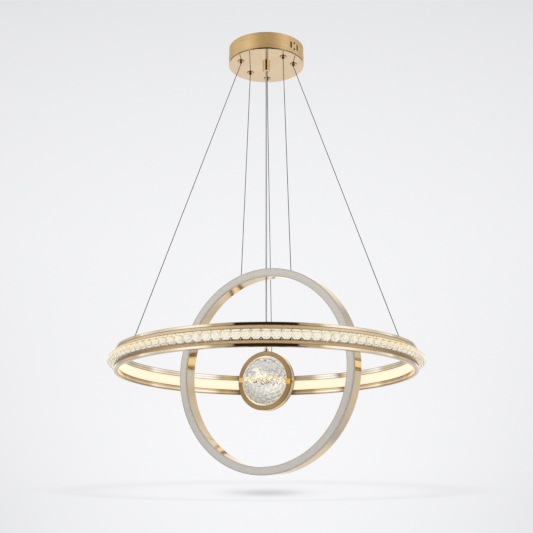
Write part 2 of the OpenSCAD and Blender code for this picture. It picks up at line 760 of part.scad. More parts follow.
// Half of a crystal's side or top view, from foot to table, and the whole of it
function cut_half(half, girdle) = [
  [crystal_foot_r, foot_part * half], [girdle_r, half], [girdle_r + girdle, half],
  [ring_d / 2 - crown_l, crown_part * half], [ring_d / 2, table_part * half]];
function cut_view(half, girdle) =
  let (p = cut_half(half, girdle), n = len(p)) concat(p, [for (i = [n - 1:-1:0]) [p[i][0], -p[i][1]]]);

// A crystal's cut: its outline from the front, its side view and its top view
module crystal() {
  w = crystal_w / 2;
  h = crystal_h / 2;
  c = crystal_cut;
  intersection() {
    translate([crystal_foot_r - 1, 0, 0]) rotate([90, 0, 90])
      linear_extrude(ring_d / 2 - crystal_foot_r + 2) polygon([
        [-w, c - h], [c - w, -h], [w - c, -h], [w, c - h], [w, h - c], [w - c, h], [c - w, h], [-w, h - c]]);
    rotate([90, 0, 0]) linear_extrude(2 * w + 2, center = true) polygon(cut_view(h, girdle_t));
    linear_extrude(2 * h + 2, center = true) polygon(cut_view(w, girdle_t - 0.5));
  }
}

module ring_crystals() {
  color(clear_glass) translate([0, 0, -ring_drop])
    for (i = [0:crystal_count - 1]) rotate([0, 0, i * 360 / crystal_count - 90]) crystal();
}

// A ring's light strip: its board round Z and its chips, which stand outwards or inwards
module ring_strip(board_r, chip_r) {
  color(board_white) translate([0, 0, -ring_drop]) {
    rotate_extrude($fn = 360) translate([board_r, -strip_w / 2]) square([board_t, strip_w]);
    for (i = [0:ring_chips - 1]) rotate([0, 0, i * 360 / ring_chips])
      translate([chip_r, -chip_l / 2, -chip_l / 4]) cube([board_t / 2 + chip_t, chip_l, chip_l / 2]);
  }
}

module ring_outer_lights() {
  ring_strip(outer_board_r, outer_board_r + board_t / 2);
}

module ring_inner_lights() {
  ring_strip(inner_board_r, inner_board_r - chip_t);
}

module ring_diffuser() {
  color(warm_white) translate([0, 0, -ring_drop]) rotate_extrude($fn = 360)
    translate([diffuser_r, -ring_diffuser_h / 2]) square([ring_diffuser_t, ring_diffuser_h]);
}

// An anchor standing on the origin: stud below and ferrule above
module anchor_solid(stud_l) {
  rotate_extrude($fn = 48) polygon([
    [0, -stud_l], [anchor_stud_r, -stud_l], [anchor_stud_r, 0], [ferrule_r, 0],
    [ferrule_r, ferrule_h - ferrule_chamfer], [ferrule_r - ferrule_chamfer, ferrule_h], [0, ferrule_h]]);
}

// Hole for the end of a wire in its anchor's ferrule
module wire_socket(i) {
  out = unit(wire_bends[i] - wire_ends[i]);
  rod(wire_ends[i] - tight_gap * out, wire_ends[i] + wire_socket_l * out, wire_d / 2 + running_gap);
}

module ring_anchors() {
  color(polished_gold) for (i = [0:2]) difference() {
    translate(ring_anchor(i, 0)) anchor_solid(ring_stud_l);
    wire_socket(i);
  }
}

module hoop_holes() {
  for (i = [3, 4]) {
    side = i == 3 ? -1 : 1;
    rod(hoop_anchor(side, -hoop_stud_l - 1), hoop_anchor(side, 2), anchor_stud_r + running_gap);
  }
  translate([0, 0, -hoop_drop + hoop_in_r - 4]) cylinder(r = bushing_r + hole_gap, h = hoop_t + 8, $fn = 48);
  rod(screw_axis(hoop_in_r - 6), screw_axis(hoop_in_r + hoop_wall + 2), small_screw_r + hole_gap);
}

module hoop_frame() {
  color(polished_gold) difference() {
    at_hoop() rotate_extrude($fn = 360) polygon([
      [hoop_in_r, hoop_back], [hoop_r, hoop_back], [hoop_r, front_base], [hoop_r - hoop_wall, front_base],
      [hoop_r - hoop_wall, hoop_back + hoop_wall], [hoop_in_r + hoop_wall, hoop_back + hoop_wall],
      [hoop_in_r + hoop_wall, front_base], [hoop_in_r, front_base]]);
    hoop_holes();
  }
}

// The frosted front: a crowned ring that closes the channel, with a spigot between its walls
module hoop_front() {
  half = hoop_t / 2;
  crown_r = (pow(half, 2) + pow(front_crown, 2)) / (2 * front_crown);
  crown_a = asin(half / crown_r);
  from = hoop_in_r + hoop_wall + hole_gap;
  to = hoop_r - hoop_wall - hole_gap;
  color(frosted) at_hoop() rotate_extrude($fn = 360) polygon(concat(
    [[hoop_in_r, front_base], [from, front_base], [from, front_base - front_spigot],
     [to, front_base - front_spigot], [to, front_base], [hoop_r, front_base]],
    arc_points([hoop_mid_r, hoop_w / 2 - crown_r], crown_r, 90 - crown_a, 90 + crown_a, 8)));
}

module hoop_lights() {
  base = hoop_back + hoop_wall;
  color(board_white) at_hoop() {
    translate([0, 0, base]) difference() {
      cylinder(r = hoop_mid_r + strip_w / 2, h = board_t, $fn = 180);
      translate([0, 0, -1]) cylinder(r = hoop_mid_r - strip_w / 2, h = board_t + 2, $fn = 180);
    }
    for (i = [0:hoop_chips - 1]) rotate([0, 0, (i + 0.5) * 360 / hoop_chips])
      translate([hoop_mid_r - chip_l / 4, -chip_l / 2, base + board_t / 2])
        cube([chip_l / 2, chip_l, board_t / 2 + chip_t]);
  }
}

module hoop_anchors() {
  color(polished_gold) for (i = [3, 4]) {
    side = i == 3 ? -1 : 1;
    difference() {
      along(hoop_anchor(side, tight_gap), hoop_anchor(side, 10)) anchor_solid(hoop_stud_l);
      wire_socket(i);
    }
  }
}

module hoop_bushing() {
  bore = cable_d / 2 + hole_gap;
  top = bushing_high - bushing_low + bushing_nut_t;
  color(polished_gold) translate([0, 0, bushing_low]) rotate_extrude() polygon([
    [bore, 0], [bushing_flange_r - 0.4, 0], [bushing_flange_r, 0.4],
    [bushing_flange_r, bushing_flange_t], [bushing_r, bushing_flange_t], [bushing_r, top], [bore, top]]);
}

module hoop_bushing_nut() {
  color(steel) translate([0, 0, bushing_high])
    hex_nut(2 * bushing_nut_r, bushing_nut_t, bushing_r + hole_gap);
}

module hoop_screw() {
  color(polished_gold) along(screw_axis(hoop_in_r - seat_gap), screw_axis(hoop_r)) {
    cylinder(r = small_screw_r, h = 4, $fn = 48);
    translate([0, 0, -hoop_head_t]) cylinder(r = hoop_head_r, h = hoop_head_t, $fn = 48);
  }
}

module ball_stem() {
  neck_l = boss_rise + boss_depth + stem_nut_t + 0.2;
  cable_r = cable_d / 2 + running_gap;
  color(polished_gold) translate([0, 0, stem_shoulder_z]) rotate_extrude() polygon([
    [stem_lead_r, -neck_l], [stem_neck_d / 2, -neck_l], [stem_neck_d / 2, 0], [stem_d / 2, 0],
    [stem_d / 2, stem_h - stem_chamfer], [stem_d / 2 - stem_chamfer, stem_h], [cable_r, stem_h],
    [cable_r, stem_h - cable_socket], [stem_lead_r, stem_h - cable_socket]]);
}

module ball_stem_nut() {
  color(steel) translate([0, 0, stem_shoulder_z - boss_rise - boss_depth - 0.2 - stem_nut_t])
    hex_nut(2 * stem_nut_r, stem_nut_t, stem_neck_d / 2 + running_gap / 5);
}

// The line of the two clips along X, the right one a little lower
module at_clips() {
  rotate([0, clip_turn, 0]) children();
}

module clip_space(h, w) {
  at_clips() for (side = [-1, 1]) translate([side * (holder_in_r + clip_out_x) / 2, 0, 0])
    cube([clip_out_x - holder_in_r + 6, w, h], center = true);
}

// The holder: a channel rolled into a ring, open inwards, with a boss for the stem
module ball_holder() {
  w = holder_w / 2;
  edge = 0.6;
  color(bronze_gold) at_ball() difference() {
    union() {
      rotate([90, 0, 0]) rotate_extrude($fn = 180) polygon([
        [holder_in_r, -w], [holder_r - edge, -w], [holder_r, -w + edge], [holder_r, w - edge],
        [holder_r - edge, w],
        [holder_in_r, w], [holder_in_r, w - holder_wall], [holder_floor_r, w - holder_wall],
        [holder_floor_r, -w + holder_wall], [holder_in_r, -w + holder_wall]]);
      translate([0, 0, holder_r - boss_depth]) cylinder(r = boss_r, h = boss_depth + boss_rise);
    }
    translate([0, 0, holder_r - 10]) cylinder(r = stem_neck_d / 2 + running_gap, h = 20);
    at_clips() rotate([0, 90, 0])
      cylinder(r = clip_neck_r + hole_gap, h = 2 * holder_r + 10, center = true, $fn = 48);
    intersection() {
      clip_space(clip_h + 2 * hole_gap, holder_w + 2);
      rotate([90, 0, 0]) cylinder(r = holder_floor_r, h = holder_w + 4, center = true, $fn = 180);
    }
  }
}

module ball_lights() {
  from = 90 + strip_gap_angle;
  step = (360 - 2 * strip_gap_angle) / ball_chips;
  strip_r = holder_floor_r - seat_gap - board_t;
  chip = [board_t / 2 + chip_t, chip_l, chip_l / 2];
  color(board_white) at_ball() rotate([90, 0, 0]) difference() {
    union() {
      rotate_extrude($fn = 180) translate([strip_r, -strip_w / 2]) square([board_t, strip_w]);
      for (i = [0:ball_chips - 1]) rotate([0, 0, from + (i + 0.5) * step])
        translate([strip_r - chip_t, -chip_l / 2, -chip_l / 4]) cube(chip);
    }
    translate([-boss_r - 6, 0, -holder_w]) cube([2 * boss_r + 12, holder_r, 2 * holder_w]);
    rotate([-90, 0, 0]) clip_space(clip_h + 2, holder_w);
  }
}

module ball_diffuser() {
  w = holder_w - 2 * holder_wall;
  color(warm_white) at_ball() difference() {
    rotate([90, 0, 0]) rotate_extrude($fn = 180)
      translate([holder_in_r, -w / 2]) square([ball_diffuser_t, w]);
    clip_space(clip_h + 2 * hole_gap, holder_w);
  }
}

// Each clip grips the ball from the side, with a neck through the holder to a round head outside
module ball_clips() {
  w = holder_w + 2 * clip_proud;
  head_x = holder_r + tight_gap;
  color(polished_gold) at_ball() at_clips() for (side = [0, 180]) rotate([0, side, 0]) {
    difference() {
      translate([(clip_in_x + clip_out_x) / 2, 0, 0])
        cube([clip_out_x - clip_in_x, w, clip_h], center = true);
      sphere(r = ball_r + clip_gap, $fn = 180);
    }
    rotate([0, 90, 0]) rotate_extrude($fn = 48) polygon([
      [0, clip_out_x - 1], [clip_neck_r, clip_out_x - 1], [clip_neck_r, head_x], [clip_head_d / 2, head_x],
      [clip_head_d / 2, head_x + clip_head_t / 2], [clip_head_d / 2 - clip_head_t / 2, head_x + clip_head_t],
      [0, head_x + clip_head_t]]);
  }
}

module crystal_ball() {
  color(clear_glass) at_ball() sphere(r = ball_r, $fn = 180);
}

mounting_bracket();
canopy_band();
canopy_plate();
side_screws();
led_driver();
driver_screws();
terminal_block();
terminal_screws();
mains_leads();
output_leads();
gripper_body(0);  // gripper_body_1
gripper_body(1);  // gripper_body_2
gripper_body(2);  // gripper_body_3
gripper_body(3);  // gripper_body_4
gripper_body(4);  // gripper_body_5
gripper_plunger(0);  // gripper_plunger_1
gripper_plunger(1);  // gripper_plunger_2
gripper_plunger(2);  // gripper_plunger_3
gripper_plunger(3);  // gripper_plunger_4
gripper_plunger(4);  // gripper_plunger_5
gripper_spring(0);  // gripper_spring_1
gripper_spring(1);  // gripper_spring_2
gripper_spring(2);  // gripper_spring_3
gripper_spring(3);  // gripper_spring_4
gripper_spring(4);  // gripper_spring_5
gripper_nuts();
cord_grip();
cord_grip_nut();
cord_grip_screw();
power_cable();
hanging_wire(0);  // ring_wire_1
hanging_wire(1);  // ring_wire_2
hanging_wire(2);  // ring_wire_3
hanging_wire(3);  // hoop_wire_1
hanging_wire(4);  // hoop_wire_2
ring_frame();
ring_bezel(1);  // ring_bezel_top
ring_bezel(-1);  // ring_bezel_bottom
ring_crystals();
ring_outer_lights();
ring_inner_lights();
ring_diffuser();
ring_anchors();
hoop_frame();
hoop_front();
hoop_lights();
hoop_anchors();
hoop_bushing();
hoop_bushing_nut();
hoop_screw();
ball_stem();
ball_stem_nut();
ball_holder();
ball_lights();
ball_diffuser();
ball_clips();
crystal_ball();
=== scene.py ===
# %% [markdown]
# # A ring pendant light, dressed for a product photograph
#
# The lamp hangs from a small gold canopy on five steel wires and one cable. A level ring carries a
# row of cut crystals outside and a warm light inside. A gold hoop with a frosted front stands upright
# through it, and a ball of hammered glass hangs in the middle in a bronze holder. The shapes come
# from a CAD model that is loaded as a fixed frame. This script gives every surface its finish, swaps
# the glass, the crystals, the springs and the wires for finer pieces, and builds the studio round them.

import math

import bpy
import numpy as np
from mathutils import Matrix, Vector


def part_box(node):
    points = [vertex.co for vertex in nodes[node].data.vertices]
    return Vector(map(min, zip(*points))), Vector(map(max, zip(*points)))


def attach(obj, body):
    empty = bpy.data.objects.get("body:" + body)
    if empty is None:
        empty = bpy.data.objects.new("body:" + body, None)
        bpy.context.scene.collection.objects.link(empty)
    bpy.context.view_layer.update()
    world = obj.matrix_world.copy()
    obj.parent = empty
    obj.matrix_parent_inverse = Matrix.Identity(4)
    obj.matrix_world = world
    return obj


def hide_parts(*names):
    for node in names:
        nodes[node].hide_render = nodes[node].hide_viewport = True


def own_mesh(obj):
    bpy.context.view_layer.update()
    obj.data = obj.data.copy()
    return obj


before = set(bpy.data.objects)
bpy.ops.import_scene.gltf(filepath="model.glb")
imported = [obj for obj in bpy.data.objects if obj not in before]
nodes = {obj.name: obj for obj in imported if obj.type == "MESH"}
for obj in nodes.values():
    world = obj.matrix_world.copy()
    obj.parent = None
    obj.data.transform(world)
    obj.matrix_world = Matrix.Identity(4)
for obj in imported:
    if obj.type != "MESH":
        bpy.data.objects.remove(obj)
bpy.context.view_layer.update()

# %% [markdown]
# ## Sizes
#
# A finish that follows a shape, such as a dark line along an edge, has to know where the edge is. The
# heights and radii could be typed in twice, once in the CAD model and once here, but then they drift
# apart. So they are read from the boxes of the CAD nodes where a box shows them. What a box can't
# show, such as the turn of the hoop, is the CAD model's own number written out.

# %% Sizes from the frame
MM = 0.001
WHITE, BLACK = (1.0, 1.0, 1.0), (0.0, 0.0, 0.0)


def corners(node):
    """The lowest and the highest corner of a CAD node's box, to a thousandth of a millimetre."""
    return [[round(v, 6) for v in corner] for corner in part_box(node)]


def middle_z(node):
    """The height of the middle of a CAD node's box."""
    low, high = corners(node)
    return (low[2] + high[2]) / 2


CANOPY_R = corners("canopy_band")[1][0]
PLATE_Z = corners("canopy_plate")[0][2]
RING_Z = middle_z("ring_diffuser")
BALL_Z = middle_z("crystal_ball")
BALL_R = corners("crystal_ball")[1][2] - BALL_Z
CORD_END, CORD_TOP = [corner[2] for corner in corners("power_cable")]
HOOP_Z = -0.6692
HOOP_YAW, HOOP_LEAN, BALL_YAW = 32.7, 1.9, 27.0
print("heights: plate", PLATE_Z, "ring", RING_Z, "hoop", HOOP_Z, "ball", BALL_Z)

# %% [markdown]
# ## The camera
#
# The photograph looks up at the lamp from just below it, so the horizon lies under the picture's
# lower edge. The canopy's ellipse, the ring's two ellipses and the wire ends fix the lens, the height
# and the tilt. A camera that is turned about X alone keeps the wires' verticals in their places.

# %% Camera
TILT, LENS, SENSOR = 15.223, 68.52, 36.0
camera = bpy.data.objects.new("camera", bpy.data.cameras.new("camera"))
bpy.context.scene.collection.objects.link(camera)
camera.data.lens = LENS
camera.data.sensor_width = SENSOR
camera.location = (0.00046, -1.90847, -0.98403)
camera.rotation_euler = (math.radians(90 + TILT), 0, 0)
bpy.context.scene.camera = camera
print("camera lens", LENS, "mm, tilted up", TILT, "degrees")

# %% [markdown]
# ## Writing shader maths as Python
#
# A finish is a small network of nodes. Drawn by hand it soon becomes hard to read, so one class wraps
# a node's output and overloads the arithmetic signs: adding two outputs adds a Math node. Everything
# else goes through a single method that makes a node from its type, its settings and its sockets.

# %% Signals
class Signal:
    """An output socket in a node tree. Arithmetic on it adds Math nodes."""

    def __init__(self, tree, socket):
        self.tree, self.socket = tree, socket

    def maths(self, operation, a, b=0.0):
        return self.tree.maths(operation, a, b)

    def __add__(self, other):
        return self.maths("ADD", self, other)

    def __sub__(self, other):
        return self.maths("SUBTRACT", self, other)

    def __rsub__(self, other):
        return self.maths("SUBTRACT", other, self)

    def __mul__(self, other):
        return self.maths("MULTIPLY", self, other)

    def __truediv__(self, other):
        return self.maths("DIVIDE", self, other)

    def __pow__(self, other):
        return self.maths("POWER", self, other)

    def __neg__(self):
        return self.maths("MULTIPLY", self, -1.0)

    def clamp(self):
        """The signal held between 0 and 1."""
        return self.maths("MINIMUM", self.maths("MAXIMUM", self, 0.0), 1.0)

    def step(self, start, end):
        """0 at start and before it, 1 at end and past it, smooth between. With end below start it falls."""
        return self.tree.add("MapRange", {"interpolation_type": "SMOOTHSTEP"},
                             {"Value": self, "From Min": start, "From Max": end})

    def within(self, low, high, soft):
        """1 between low and high, falling to 0 over a distance of soft on either side."""
        return self.step(low - soft, low) * (1.0 - self.step(high, high + soft))

    __radd__ = __add__
    __rmul__ = __mul__


# %% Node trees
class Tree:
    """A node tree that is filled from Python, for a material or for the world."""

    def __init__(self, owner):
        owner.use_nodes = True
        self.owner, self.tree = owner, owner.node_tree
        self.tree.nodes.clear()

    def add(self, kind, settings=None, sockets=None, out=0):
        """A node of this kind, with its settings made first and its sockets given a value or a link."""
        node = self.tree.nodes.new("ShaderNode" + kind)
        settings = dict(settings or {})
        stops = settings.pop("stops", None)
        for key, value in settings.items():
            setattr(node, key, value)
        if stops:
            points = node.color_ramp.elements
            while len(points) < len(stops):
                points.new(0.5)
            for point, (place, colour) in zip(points, stops):
                point.position = place
                point.color = (*colour, 1.0)
        for key, value in (sockets or {}).items():
            if isinstance(value, Signal):
                self.tree.links.new(value.socket, node.inputs[key])
            elif isinstance(value, tuple) and node.inputs[key].type == "RGBA":
                node.inputs[key].default_value = (*value, 1.0)
            else:
                node.inputs[key].default_value = value
        return Signal(self, node.outputs[out]) if node.outputs else node

    def maths(self, operation, a, b=0.0):
        """One Math node on two values or signals."""
        return self.add("Math", {"operation": operation}, {0: a, 1: b})

    def blend(self, share, first, second):
        """A mix of two colours: the first where share is 0 and the second where it is 1."""
        return self.add("Mix", {"data_type": "RGBA"}, {0: share, 6: first, 7: second}, out=2)

    def tint(self, colour, by):
        """One colour multiplied by another."""
        settings = {"data_type": "RGBA", "blend_type": "MULTIPLY"}
        return self.add("Mix", settings, {0: 1.0, 6: colour, 7: by}, out=2)

    def place(self, scale=(1, 1, 1)):
        """Object coordinates in metres, stretched by scale."""
        where = self.add("TexCoord", out="Object")
        return self.add("Mapping", {}, {"Vector": where, "Scale": scale})

    def split(self, vector):
        """The x, y and z of a vector, one signal each."""
        return [self.add("SeparateXYZ", {}, {0: vector}, out=i) for i in range(3)]

    def axes(self):
        """The x, y and z of Object coordinates, one signal each."""
        return self.split(self.add("TexCoord", out="Object"))

    def noise(self, scale, detail=2.0, stretch=(1, 1, 1), rough=0.5):
        """Cloudy noise from 0 to 1, with scale in features per metre along an unstretched axis."""
        sockets = {"Vector": self.place(stretch), "Scale": scale, "Detail": detail, "Roughness": rough}
        return self.add("TexNoise", {}, sockets)

    def patches(self, scale):
        """A random value from 0 to 1 for every cell of a crazy paving, with scale in cells per metre."""
        cell = self.add("TexVoronoi", {"feature": "F1"}, {"Vector": self.place(), "Scale": scale}, out=1)
        return self.add("SeparateColor", {}, {0: cell})

    def bump(self, height, strength, distance):
        """A Normal that follows height, with distance in metres."""
        return self.add("Bump", {}, {"Height": height, "Strength": strength, "Distance": distance})

    def shade(self, **sockets):
        """The Principled shader as the material's surface; underscores stand for spaces."""
        named = {key.replace("_", " "): value for key, value in sockets.items()}
        return self.cover(self.add("BsdfPrincipled", {}, named))

    def cover(self, shader):
        """The material, with this shader as its surface."""
        self.add("OutputMaterial", {}, {"Surface": shader})
        return self.owner


def finish(name):
    """A new, empty material to be filled through its tree."""
    return Tree(bpy.data.materials.new(name))


def dress(material, *names):
    """Gives CAD nodes a material by their names."""
    for name in names:
        data = nodes[name].data
        data.materials.clear()
        data.materials.append(material)
    print(material.name, "on", len(names), "nodes")


# %% [markdown]
# ## Brushed gold
#
# Nearly all the metal that shows is champagne gold, in several tempers, and the canopy's side is
# brushed. Brushed metal is made of thousands of hair-thin scratches along one direction. A picture of
# scratches would have to be unwrapped and would repeat, so a noise is stretched far along that
# direction instead. It goes into the roughness, a little of the colour and a little of the bump. The
# vents are real holes in the CAD model, and the finish paints shade round each slot and hole, from the
# distance to it, for the dark inside of the canopy that shows through them.

# %% The canopy's side
# the brown of the painted shade lines on the ring's frame and the ball's holder
PAINTED_SHADE_BROWN = (0.16, 0.09, 0.04)
VENT_ANGLE = -42.5
SLOT_H, SLOT_W, SLOT_PITCH = 0.013, 0.0026, 0.0187
HOLE_D, HOLE_PITCH = 0.003, 0.013


def hypotenuse(a, b):
    """The length of the vector (a, b), as a signal."""
    return (a * a + b * b) ** 0.5


def turned_hair(tree, along, across):
    """Scratches round Z: noise on the angle times along, and on height and radius times across."""
    x, y, z = tree.axes()
    turn = tree.maths("ARCTAN2", y, x)
    where = tree.add("CombineXYZ", {}, {0: turn * along, 1: z * across, 2: hypotenuse(x, y) * across})
    return tree.add("TexNoise", {}, {"Vector": where, "Scale": 1.0, "Detail": 3.0, "Roughness": 0.6})


def brushed_band():
    """The canopy's side: scratches round Z, and painted shade round the vent slots and holes."""
    t = finish("brushed_gold")
    hair = turned_hair(t, 3.0, 2600)
    streak = turned_hair(t, 1.2, 420)
    tone = (hair * 0.3 + streak * 0.7).step(0.3, 0.7)
    gold = t.blend(tone, (0.64, 0.41, 0.16), (0.80, 0.53, 0.225))
    x, y, z = t.axes()
    turn = t.maths("ARCTAN2", y, x) - math.radians(VENT_ANGLE)
    aside = t.maths("PINGPONG", turn, math.pi / 2) * CANOPY_R
    height = t.maths("ABSOLUTE", z - PLATE_Z / 2)
    past_straight = t.maths("MAXIMUM", height - (SLOT_H - SLOT_W) / 2, 0.0)
    slot = hypotenuse(aside - SLOT_PITCH / 2, past_straight) - SLOT_W / 2
    hole = hypotenuse(aside, height - HOLE_PITCH / 2) - HOLE_D / 2
    # painted shade round the vents, for the dark inside of the canopy that shows through them
    vent_shade = t.maths("MINIMUM", slot, hole).step(0.0010, 0.0005)
    return t.shade(Base_Color=t.blend(vent_shade, gold, (0.03, 0.018, 0.008)), Metallic=0.6,
                   Roughness=(hair - 0.5) * 0.12 + 0.46, Anisotropic=0.8, Anisotropic_Rotation=0.25,
                   Normal=t.bump(hair, 0.35, 0.00003))


dress(brushed_band(), "canopy_band")

# %% [markdown]
# ## Satin bezels
#
# Above and below the crystals runs a bezel with a soft satin gloss. A darker line along each edge is
# painted shade, where the crystals and the rim meet it.
# In the photograph the upper bezel is paler at the ring's sides than at its middle and the lower one
# is darker, as lights close to the lamp would make them. A painted room is endlessly far away and
# can't do that, so each bezel gets up to three tints by its distance from the middle plane.

# %% Satin bezels
BEZEL_FACE = (0.0109, 0.0141)
FLANK_X, END_X = (0.05, 0.12), (0.15, 0.24)


def satin_bezel(name, light, dark, metal, centre=WHITE, flank=WHITE, ends=WHITE):
    """Satin scratches round Z, painted shade as a darker line along the edges, and three tints by |x|."""
    t = finish(name)
    hair = turned_hair(t, 8.0, 1800)
    tone = (hair * 0.7 + t.noise(18, 2) * 0.3).step(0.25, 0.75)
    x, y, z = t.axes()
    face = t.maths("ABSOLUTE", z - RING_Z).within(*BEZEL_FACE, 0.0008)
    out = t.maths("ABSOLUTE", x)
    gold = t.tint(t.blend(tone, dark, light), t.blend(out.step(*FLANK_X), centre, flank))
    gold = t.tint(gold, t.blend(out.step(*END_X), WHITE, ends))
    # painted shade: a darker line along the bezel's edges, next to the crystals and the rim
    edge_shade = tuple(v * 0.6 for v in dark)
    return t.shade(Base_Color=t.blend(face, edge_shade, gold), Metallic=metal,
                   Roughness=(hair - 0.5) * 0.12 + 0.50, Anisotropic=0.8, Anisotropic_Rotation=0.25,
                   Normal=t.bump(hair, 0.35, 0.00002))


dress(satin_bezel("satin_gold", (0.90, 0.70, 0.435), (0.78, 0.59, 0.345), 0.35,
                  centre=(1, 0.885, 0.775)), "ring_bezel_top")
dress(satin_bezel("shaded_satin_gold", (0.94, 0.635, 0.32), (0.82, 0.535, 0.27), 0.25,
                  flank=(0.77, 0.76, 0.73), ends=(0.52, 0.50, 0.49)), "ring_bezel_bottom")

# %% [markdown]
# ## Polished gold
#
# The rims, the hoop and the small fittings are turned and polished. Their grain is too fine to see as
# lines, but it still keeps the reflections from being those of a perfect mirror. A straight grain is
# mixed with soft clouds, and the mix moves the tone and the roughness by a hair. One function serves
# all the plain pieces, since they differ only in colour and gloss.

# %% Plain gold
POLISHED_LIGHT, POLISHED_DARK = (0.88, 0.69, 0.42), (0.84, 0.64, 0.37)


def grained(tree, scale, stretch=(1, 1, 1)):
    """A straight grain and its mix with soft clouds, for a metal's bump and for its tone."""
    hair = tree.noise(scale, 3, stretch, 0.6)
    return hair, (hair * 0.5 + tree.noise(25, 2) * 0.5).step(0.3, 0.7)


def plain_gold(name, light, dark, roughness, scale=500):
    """Polished gold with a trace of grain, between two tones."""
    t = finish(name)
    hair, tone = grained(t, scale)
    return t.shade(Base_Color=t.blend(tone, dark, light), Metallic=1.0,
                   Roughness=(hair - 0.5) * 0.04 + (tone - 0.5) * 0.012 + roughness,
                   Normal=t.bump(hair, 0.25, 0.000005))


dress(plain_gold("polished_gold", POLISHED_LIGHT, POLISHED_DARK, 0.04, 260), "ring_anchors")
dress(plain_gold("hoop_gold", (0.865, 0.68, 0.435), (0.815, 0.62, 0.375), 0.08, 200),
      "hoop_frame", "hoop_anchors", "hoop_bushing", "hoop_screw")
dress(plain_gold("fitting_gold", (0.82, 0.64, 0.38), (0.76, 0.57, 0.32), 0.05),
      "side_screws", "cord_grip", "ball_stem")
dress(plain_gold("clip_gold", (0.93, 0.60, 0.20), (0.86, 0.52, 0.15), 0.16), "ball_clips")
dress(plain_gold("dark_brass", (0.20, 0.12, 0.05), (0.13, 0.075, 0.03), 0.22, 900),
      *[f"gripper_plunger_{i}" for i in range(1, 6)])

# %% [markdown]
# ## The plate and the wire grippers
#
# The canopy's bottom plate has a fine grain from front to back and is half a mirror, so the wires
# and grippers show in it. A brown line round its outer edge is painted shade. Under it sit five
# grippers, each a flat flange with a hub through which a wire leaves. On the real lamp the flange's
# face is as pale as the plate. Its edge and hub are painted brown, as painted shade. The face is found
# by its height and by the distance to the nearest wire.

# %% Plate and grippers
OUTLETS = [(56.2, -156.4), (56.3, -9.8), (57.4, 88.1), (44.8, 138.1), (54.0, -51.0)]
FLANGE_Z, FLANGE_R = PLATE_Z - 0.0012, 0.0063


def plate_gold():
    """The canopy's bottom plate: a fine front-to-back grain on a half mirror, and a brown line of painted
    shade round its edge.
    """
    t = finish("plate_gold")
    hair, tone = grained(t, 1800, (1, 0.02, 1))
    x, y, z = t.axes()
    # painted shade: a brown line round the plate's outer edge
    rim = hypotenuse(x, y).step(CANOPY_R - 0.00045, CANOPY_R - 0.00025)
    gold = t.blend(tone, (0.83, 0.63, 0.41), (0.88, 0.69, 0.465))
    return t.shade(Base_Color=t.blend(rim, gold, (0.26, 0.17, 0.09)), Metallic=1.0,
                   Roughness=(hair - 0.5) * 0.04 + 0.05, Normal=t.bump(hair, 0.25, 0.000006))


def gripper_gold():
    """A wire gripper: its flat face as pale as the plate, its flange edge and hub painted brown as shade.
    """
    t = finish("gripper_gold")
    hair, tone = grained(t, 500)
    x, y, z = t.axes()
    near = 1.0
    for radius, angle in OUTLETS:
        a = math.radians(angle)
        far_off = hypotenuse(x - radius * MM * math.cos(a), y - radius * MM * math.sin(a))
        near = t.maths("MINIMUM", near, far_off)
    flat = z.within(FLANGE_Z - 0.00006, FLANGE_Z + 0.00006, 0.00004)
    # all but the flat face is painted brown as shade: the flange edge and the hub
    face = flat * near.step(FLANGE_R + 0.0001, FLANGE_R - 0.0001)
    pale = t.blend(tone, (0.74, 0.55, 0.33), (0.80, 0.61, 0.38))
    return t.shade(Base_Color=t.blend(face, (0.30, 0.17, 0.07), pale), Metallic=1.0,
                   Roughness=(hair - 0.5) * 0.05 + 0.10, Normal=t.bump(hair, 0.25, 0.000006))


dress(plate_gold(), "canopy_plate")
dress(gripper_gold(), *[f"gripper_body_{i}" for i in range(1, 6)])

# %% [markdown]
# ## The ring's frame
#
# The frame is one bent channel: polished rims outside, and inside two lips that hold the glowing
# strip. The strip lights the lips from the side, so each shows a brighter or browner stripe of painted
# light and a dark line of painted shade in the gap where it meets its neighbour. In the photograph
# these are no wider than a pixel, too thin to come out of the light by themselves, so they follow the
# height above or below the ring's middle. The rims' outer edges, at top and bottom and beside the
# bezels, get painted shade too, strongest within a band round x = 0.

# %% The ring's frame
LIP_R = 0.282
UPPER_STRIPE, LOWER_STRIPE = (0.0142, 0.0162), (0.0154, 0.0170)
# heights from the ring's middle where the lines of painted shade fall
STRIP_GAP_SHADE, RIM_GAP_SHADE = (0.0112, 0.0106), (0.0188, 0.0196)
RIM_EDGE, BEZEL_EDGE = (0.0193, 0.0197), (0.0162, 0.0158)
MIDDLE_X = (0.072, 0.062)


